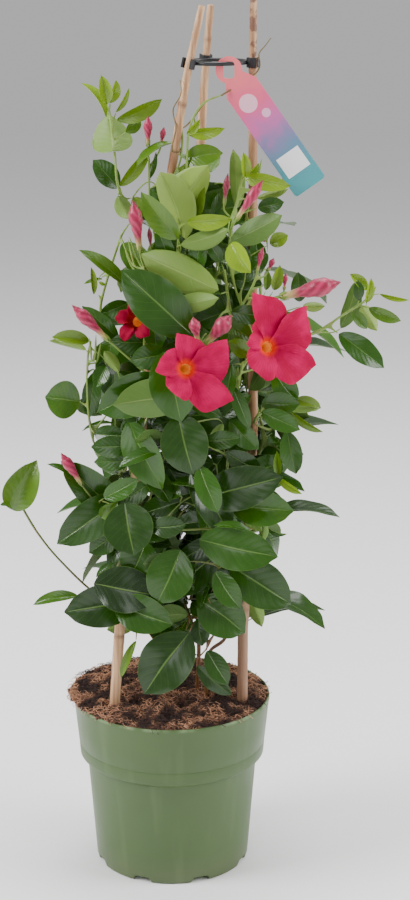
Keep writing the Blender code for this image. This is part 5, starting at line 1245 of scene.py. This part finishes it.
for name, (across, down, depth, turn, lift, petals, wide_open) in BLOOMS.items():
    plain = [v.co for v in frame["nodes"][name].data.vertices]
    for shift in SHIFTS:
        throat = sight_point(across, down, depth + shift)
        axes = bloom_frame(turn, lift, throat)
        heart = throat + axes @ Vector((0, 0, -HEART_DEPTH))
        if min((p - heart).length for p in plain) < 0.02 * MM:
            break
    verts, faces, places, kinds = [], [], [], []
    order = sorted(petals)
    for i, (angle, reach) in enumerate(order):
        before = order[i - 1][0] - (360 if i == 0 else 0)
        after = order[(i + 1) % 5][0] + (360 if i == 4 else 0)
        start, end = before + PETAL_LAP * (angle - before), angle + PETAL_LAP * (after - angle)
        beside = (order[i - 1][1], order[(i + 1) % 5][1])
        edge = OPEN_EDGE if wide_open else FURLED_EDGE
        petal, petal_faces, on_petal, sides = petal_sheet(start, end, reach, beside, edge, f"{name} {i}")
        join(verts, faces, petal, petal_faces)
        places += on_petal
        kinds += sides
    tube, tube_faces = turned(TUBE_SECTION, TUBE_STEPS, lambda radius, height, angle: (radius, height))
    inner = 1 + THROAT_RINGS * TUBE_STEPS
    join(verts, faces, [v / MM for v in tube], [face[::-1] for face in tube_faces])
    kinds += [2 if min(face) < inner else 1 for face in tube_faces]
    places += [(0.5, 0.3)] * len(tube)
    foot = throat + axes @ Vector((0, 0, -TUBE_LENGTH))
    verts = [axes @ (v * MM) + throat for v in verts]
    cup, cup_faces = sepals(foot, axes @ Vector((0, 0, 1)), 5.5 * MM, 1.9 * MM)
    join(verts, faces, cup, cup_faces)
    kinds += [3] * len(cup_faces)
    places += [(0.0, 0.0)] * len(cup)
    sides = [petal_front, petal_back] if wide_open else [petal_shade, petal_shade]
    bloom = flower_piece("open_" + name, verts, faces, places, kinds, sides + [throat_gold, green_stem],
                         "on_petal", "POINT")
    bloom.data.set_sharp_from_angle(angle=math.radians(60))
    fitted(bloom, "petal", name)

# The inner leaves: the many older leaves that fill the plant behind its outer ones, seen from any side.
# Each is set on the nearest vine by a short stalk, wherever a look would still pass through the plant.
BODY = ((185, 168, 200), (210, 142, 250), (240, 140, 260), (300, 132, 262), (330, 104, 272),
        (360, 94, 282), (400, 88, 292), (440, 88, 290), (480, 98, 286), (560, 106, 280),
        (600, 124, 268), (622, 138, 212))
BODY_DEPTH = 0.82
INNER_TRIES = 9000
MOST_INNER = 480
INNER_LENGTHS, INNER_BREADTHS = (25, 38), (0.54, 0.64)
INNER_SPREAD, INNER_DROOP = 0.88, 0.45
STALK_RADIUS, STALK_SIDES, STALK_STEPS = 0.6 * MM, 6, 8
SHORTEST_STALK, LONGEST_STALK = 5 * MM, 46 * MM
LOOK_FROM = 0.4
COARSE = 4


def body_at(height):
    """The middle and half width of the leafy mass at this height."""
    rows = [(sight_point(left, down, 0), sight_point(right, down, 0)) for down, left, right in BODY]
    for (left, right), (low_left, low_right) in zip(rows, rows[1:]):
        if height >= low_left.z:
            share = min(1.0, (height - low_left.z) / (left.z - low_left.z))
            one, other = low_left.lerp(left, share), low_right.lerp(right, share)
            break
    return Vector(((one.x + other.x) / 2, 0, height)), (other.x - one.x) / 2


def sheet_of(blades):
    """Coarse quads over these blades, to measure against."""
    verts, faces = [], []
    for blade in blades:
        points, _ = blade_grid(blade, "coarse", COARSE, COARSE)
        join(verts, faces, points[:(COARSE + 1) ** 2], blade_skin(COARSE, COARSE)[0])
    return BVHTree.FromPolygons(verts, faces)


def tree_of(*starts):
    """The plain solids whose names start so, to measure against."""
    verts, faces = [], []
    for name, node in frame["nodes"].items():
        if name.startswith(starts):
            points = [v.co.copy() for v in node.data.vertices]
            join(verts, faces, points, [p.vertices for p in node.data.polygons])
    return BVHTree.FromPolygons(verts, faces)


plain_plant, plain_leaves = tree_of(""), tree_of("vine_", "shoot_", "bloom_", "bud_")
vine_tree = KDTree(len(stem_points))
for i, point in enumerate(stem_points):
    vine_tree.insert(point, i)
vine_tree.balance()


def stalk_to(stem, base, axis):
    """A stalk's points from the vine to a leaf's base, leaving and arriving smoothly."""
    span = (base - stem).length
    leave = stem + (base - stem) * 0.3 + Vector((0, 0, 0.2 * span))
    arrive = base - axis * (0.35 * span)
    line = []
    for k in range(STALK_STEPS + 1):
        t = k / STALK_STEPS
        a, b, c = stem.lerp(leave, t), leave.lerp(arrive, t), arrive.lerp(base, t)
        line.append(a.lerp(b, t).lerp(b.lerp(c, t), t))
    return line


draw = random.Random(29)
inner, stalks = [], []
inner_sheet = sheet_of([])
lowest, highest = sight_point(205, BODY[-1][0], 0).z, sight_point(205, BODY[0][0], 0).z
for _ in range(INNER_TRIES):
    if len(inner) == MOST_INNER:
        break
    height = draw.uniform(lowest, highest)
    middle, half = body_at(height)
    turn = draw.choice((0.0, draw.uniform(0, math.tau), draw.uniform(0.6, 5.6)))
    inward = Vector((math.sin(turn), math.cos(turn), 0))
    side = Vector((inward.y, -inward.x, 0))
    target = middle + side * (draw.uniform(-INNER_SPREAD, INNER_SPREAD) * half)
    if turn == 0.0:
        inward = (target - EYE).normalized()
    start = target - inward * LOOK_FROM
    deep = BODY_DEPTH * half
    hits = [leaves.ray_cast(start, inward, LOOK_FROM + 0.25 * half)[3]
            for leaves in (plain_leaves, inner_sheet)]
    size = draw.uniform(*INNER_LENGTHS) * MM * (1 - 0.3 * (height - lowest) / (highest - lowest))
    near = draw.uniform(0.05, 0.6) * deep
    jitter = Vector((draw.uniform(-1, 1), draw.uniform(-1, 1), draw.uniform(-1, 1)))
    if any(hit is not None and hit < LOOK_FROM + 0.1 * half for hit in hits):
        continue
    place = target - inward * near
    stem = vine_tree.find(place)[0]
    if not SHORTEST_STALK < (place - stem).length < LONGEST_STALK:
        continue
    axis = ((place - stem).normalized() + jitter * 0.45 + Vector((0, 0, -INNER_DROOP))).normalized()
    normal = -inward + Vector((0, 0, INNER_DROOP)) + jitter.yzx * 0.4
    normal = (normal - axis * normal.dot(axis)).normalized()
    breadth = size * draw.uniform(*INNER_BREADTHS)
    blade = (place - axis * (size * 0.45), axis, normal, size, breadth, 0.05)
    line = stalk_to(stem, blade[0], axis)
    trial = sheet_of([blade])
    if trial.overlap(plain_plant) or trial.overlap(inner_sheet):
        continue
    if any(solids.ray_cast(a, (b - a).normalized(), (b - a).length)[0]
           for solids in (plain_plant, inner_sheet) for a, b in zip(line[2:], line[3:])):
        continue
    inner.append(blade)
    stalks.append([(point, STALK_RADIUS) for point in line])
    inner_sheet = sheet_of(inner)
foliage = Foliage()
for number, blade in enumerate(inner):
    foliage.leaf(blade, f"inner {number}", fine=False)
fitted(foliage.piece("inner_leaves"), "leaf")
fitted(swept("inner_stalks", stalks, green_stem, STALK_SIDES, 0.0, 2 * MM), "vine")

# The tendrils: wiry shoot tips that feel their way up past the leaves, bare and a little dried.
TENDRILS = (
    ((187, 125, -6), (195, 116, -12), (203, 105, -14), (212, 98, -12), (222, 95, -9)),
    ((257, 72, -14), (259, 54, -13), (265, 46, -11), (271, 38, -9)),
    ((172, 150, -34), (176, 128, -30), (173, 110, -20), (181, 94, -33), (180, 80, -26)),
)
TENDRIL_RADIUS, TENDRIL_TAPER, TENDRIL_SIDES, TENDRIL_STEPS = 0.75, 0.4, 8, 6
dry_stem, tree, shader = new_finish("dry_stem", Roughness=0.7)
tree.links.new(blended(tree, speckle(tree, 300.0), ink(92, 70, 38), ink(128, 110, 60)),
               shader.inputs["Base Color"])
lines = []
for sights in TENDRILS:
    points = [sight_point(*sight) for sight in sights]
    points = [vine_tree.find(points[0])[0]] + points
    line = []
    for i in range(len(points) - 1):
        before, after = points[max(0, i - 1)], points[min(len(points) - 1, i + 2)]
        a, b = points[i], points[i + 1]
        for k in range(TENDRIL_STEPS):
            t = k / TENDRIL_STEPS
            curve = (b - before) * (t * (1 - t) ** 2 / 2) - (after - a) * (t * t * (1 - t) / 2)
            line.append(a.lerp(b, t * t * (3 - 2 * t)) + curve)
    line.append(points[-1])
    lines.append([(p, (TENDRIL_RADIUS - TENDRIL_TAPER * i / len(line)) * MM) for i, p in enumerate(line)])
fitted(swept("tendrils", lines, dry_stem, TENDRIL_SIDES, 0.0, 2 * MM), "vine")
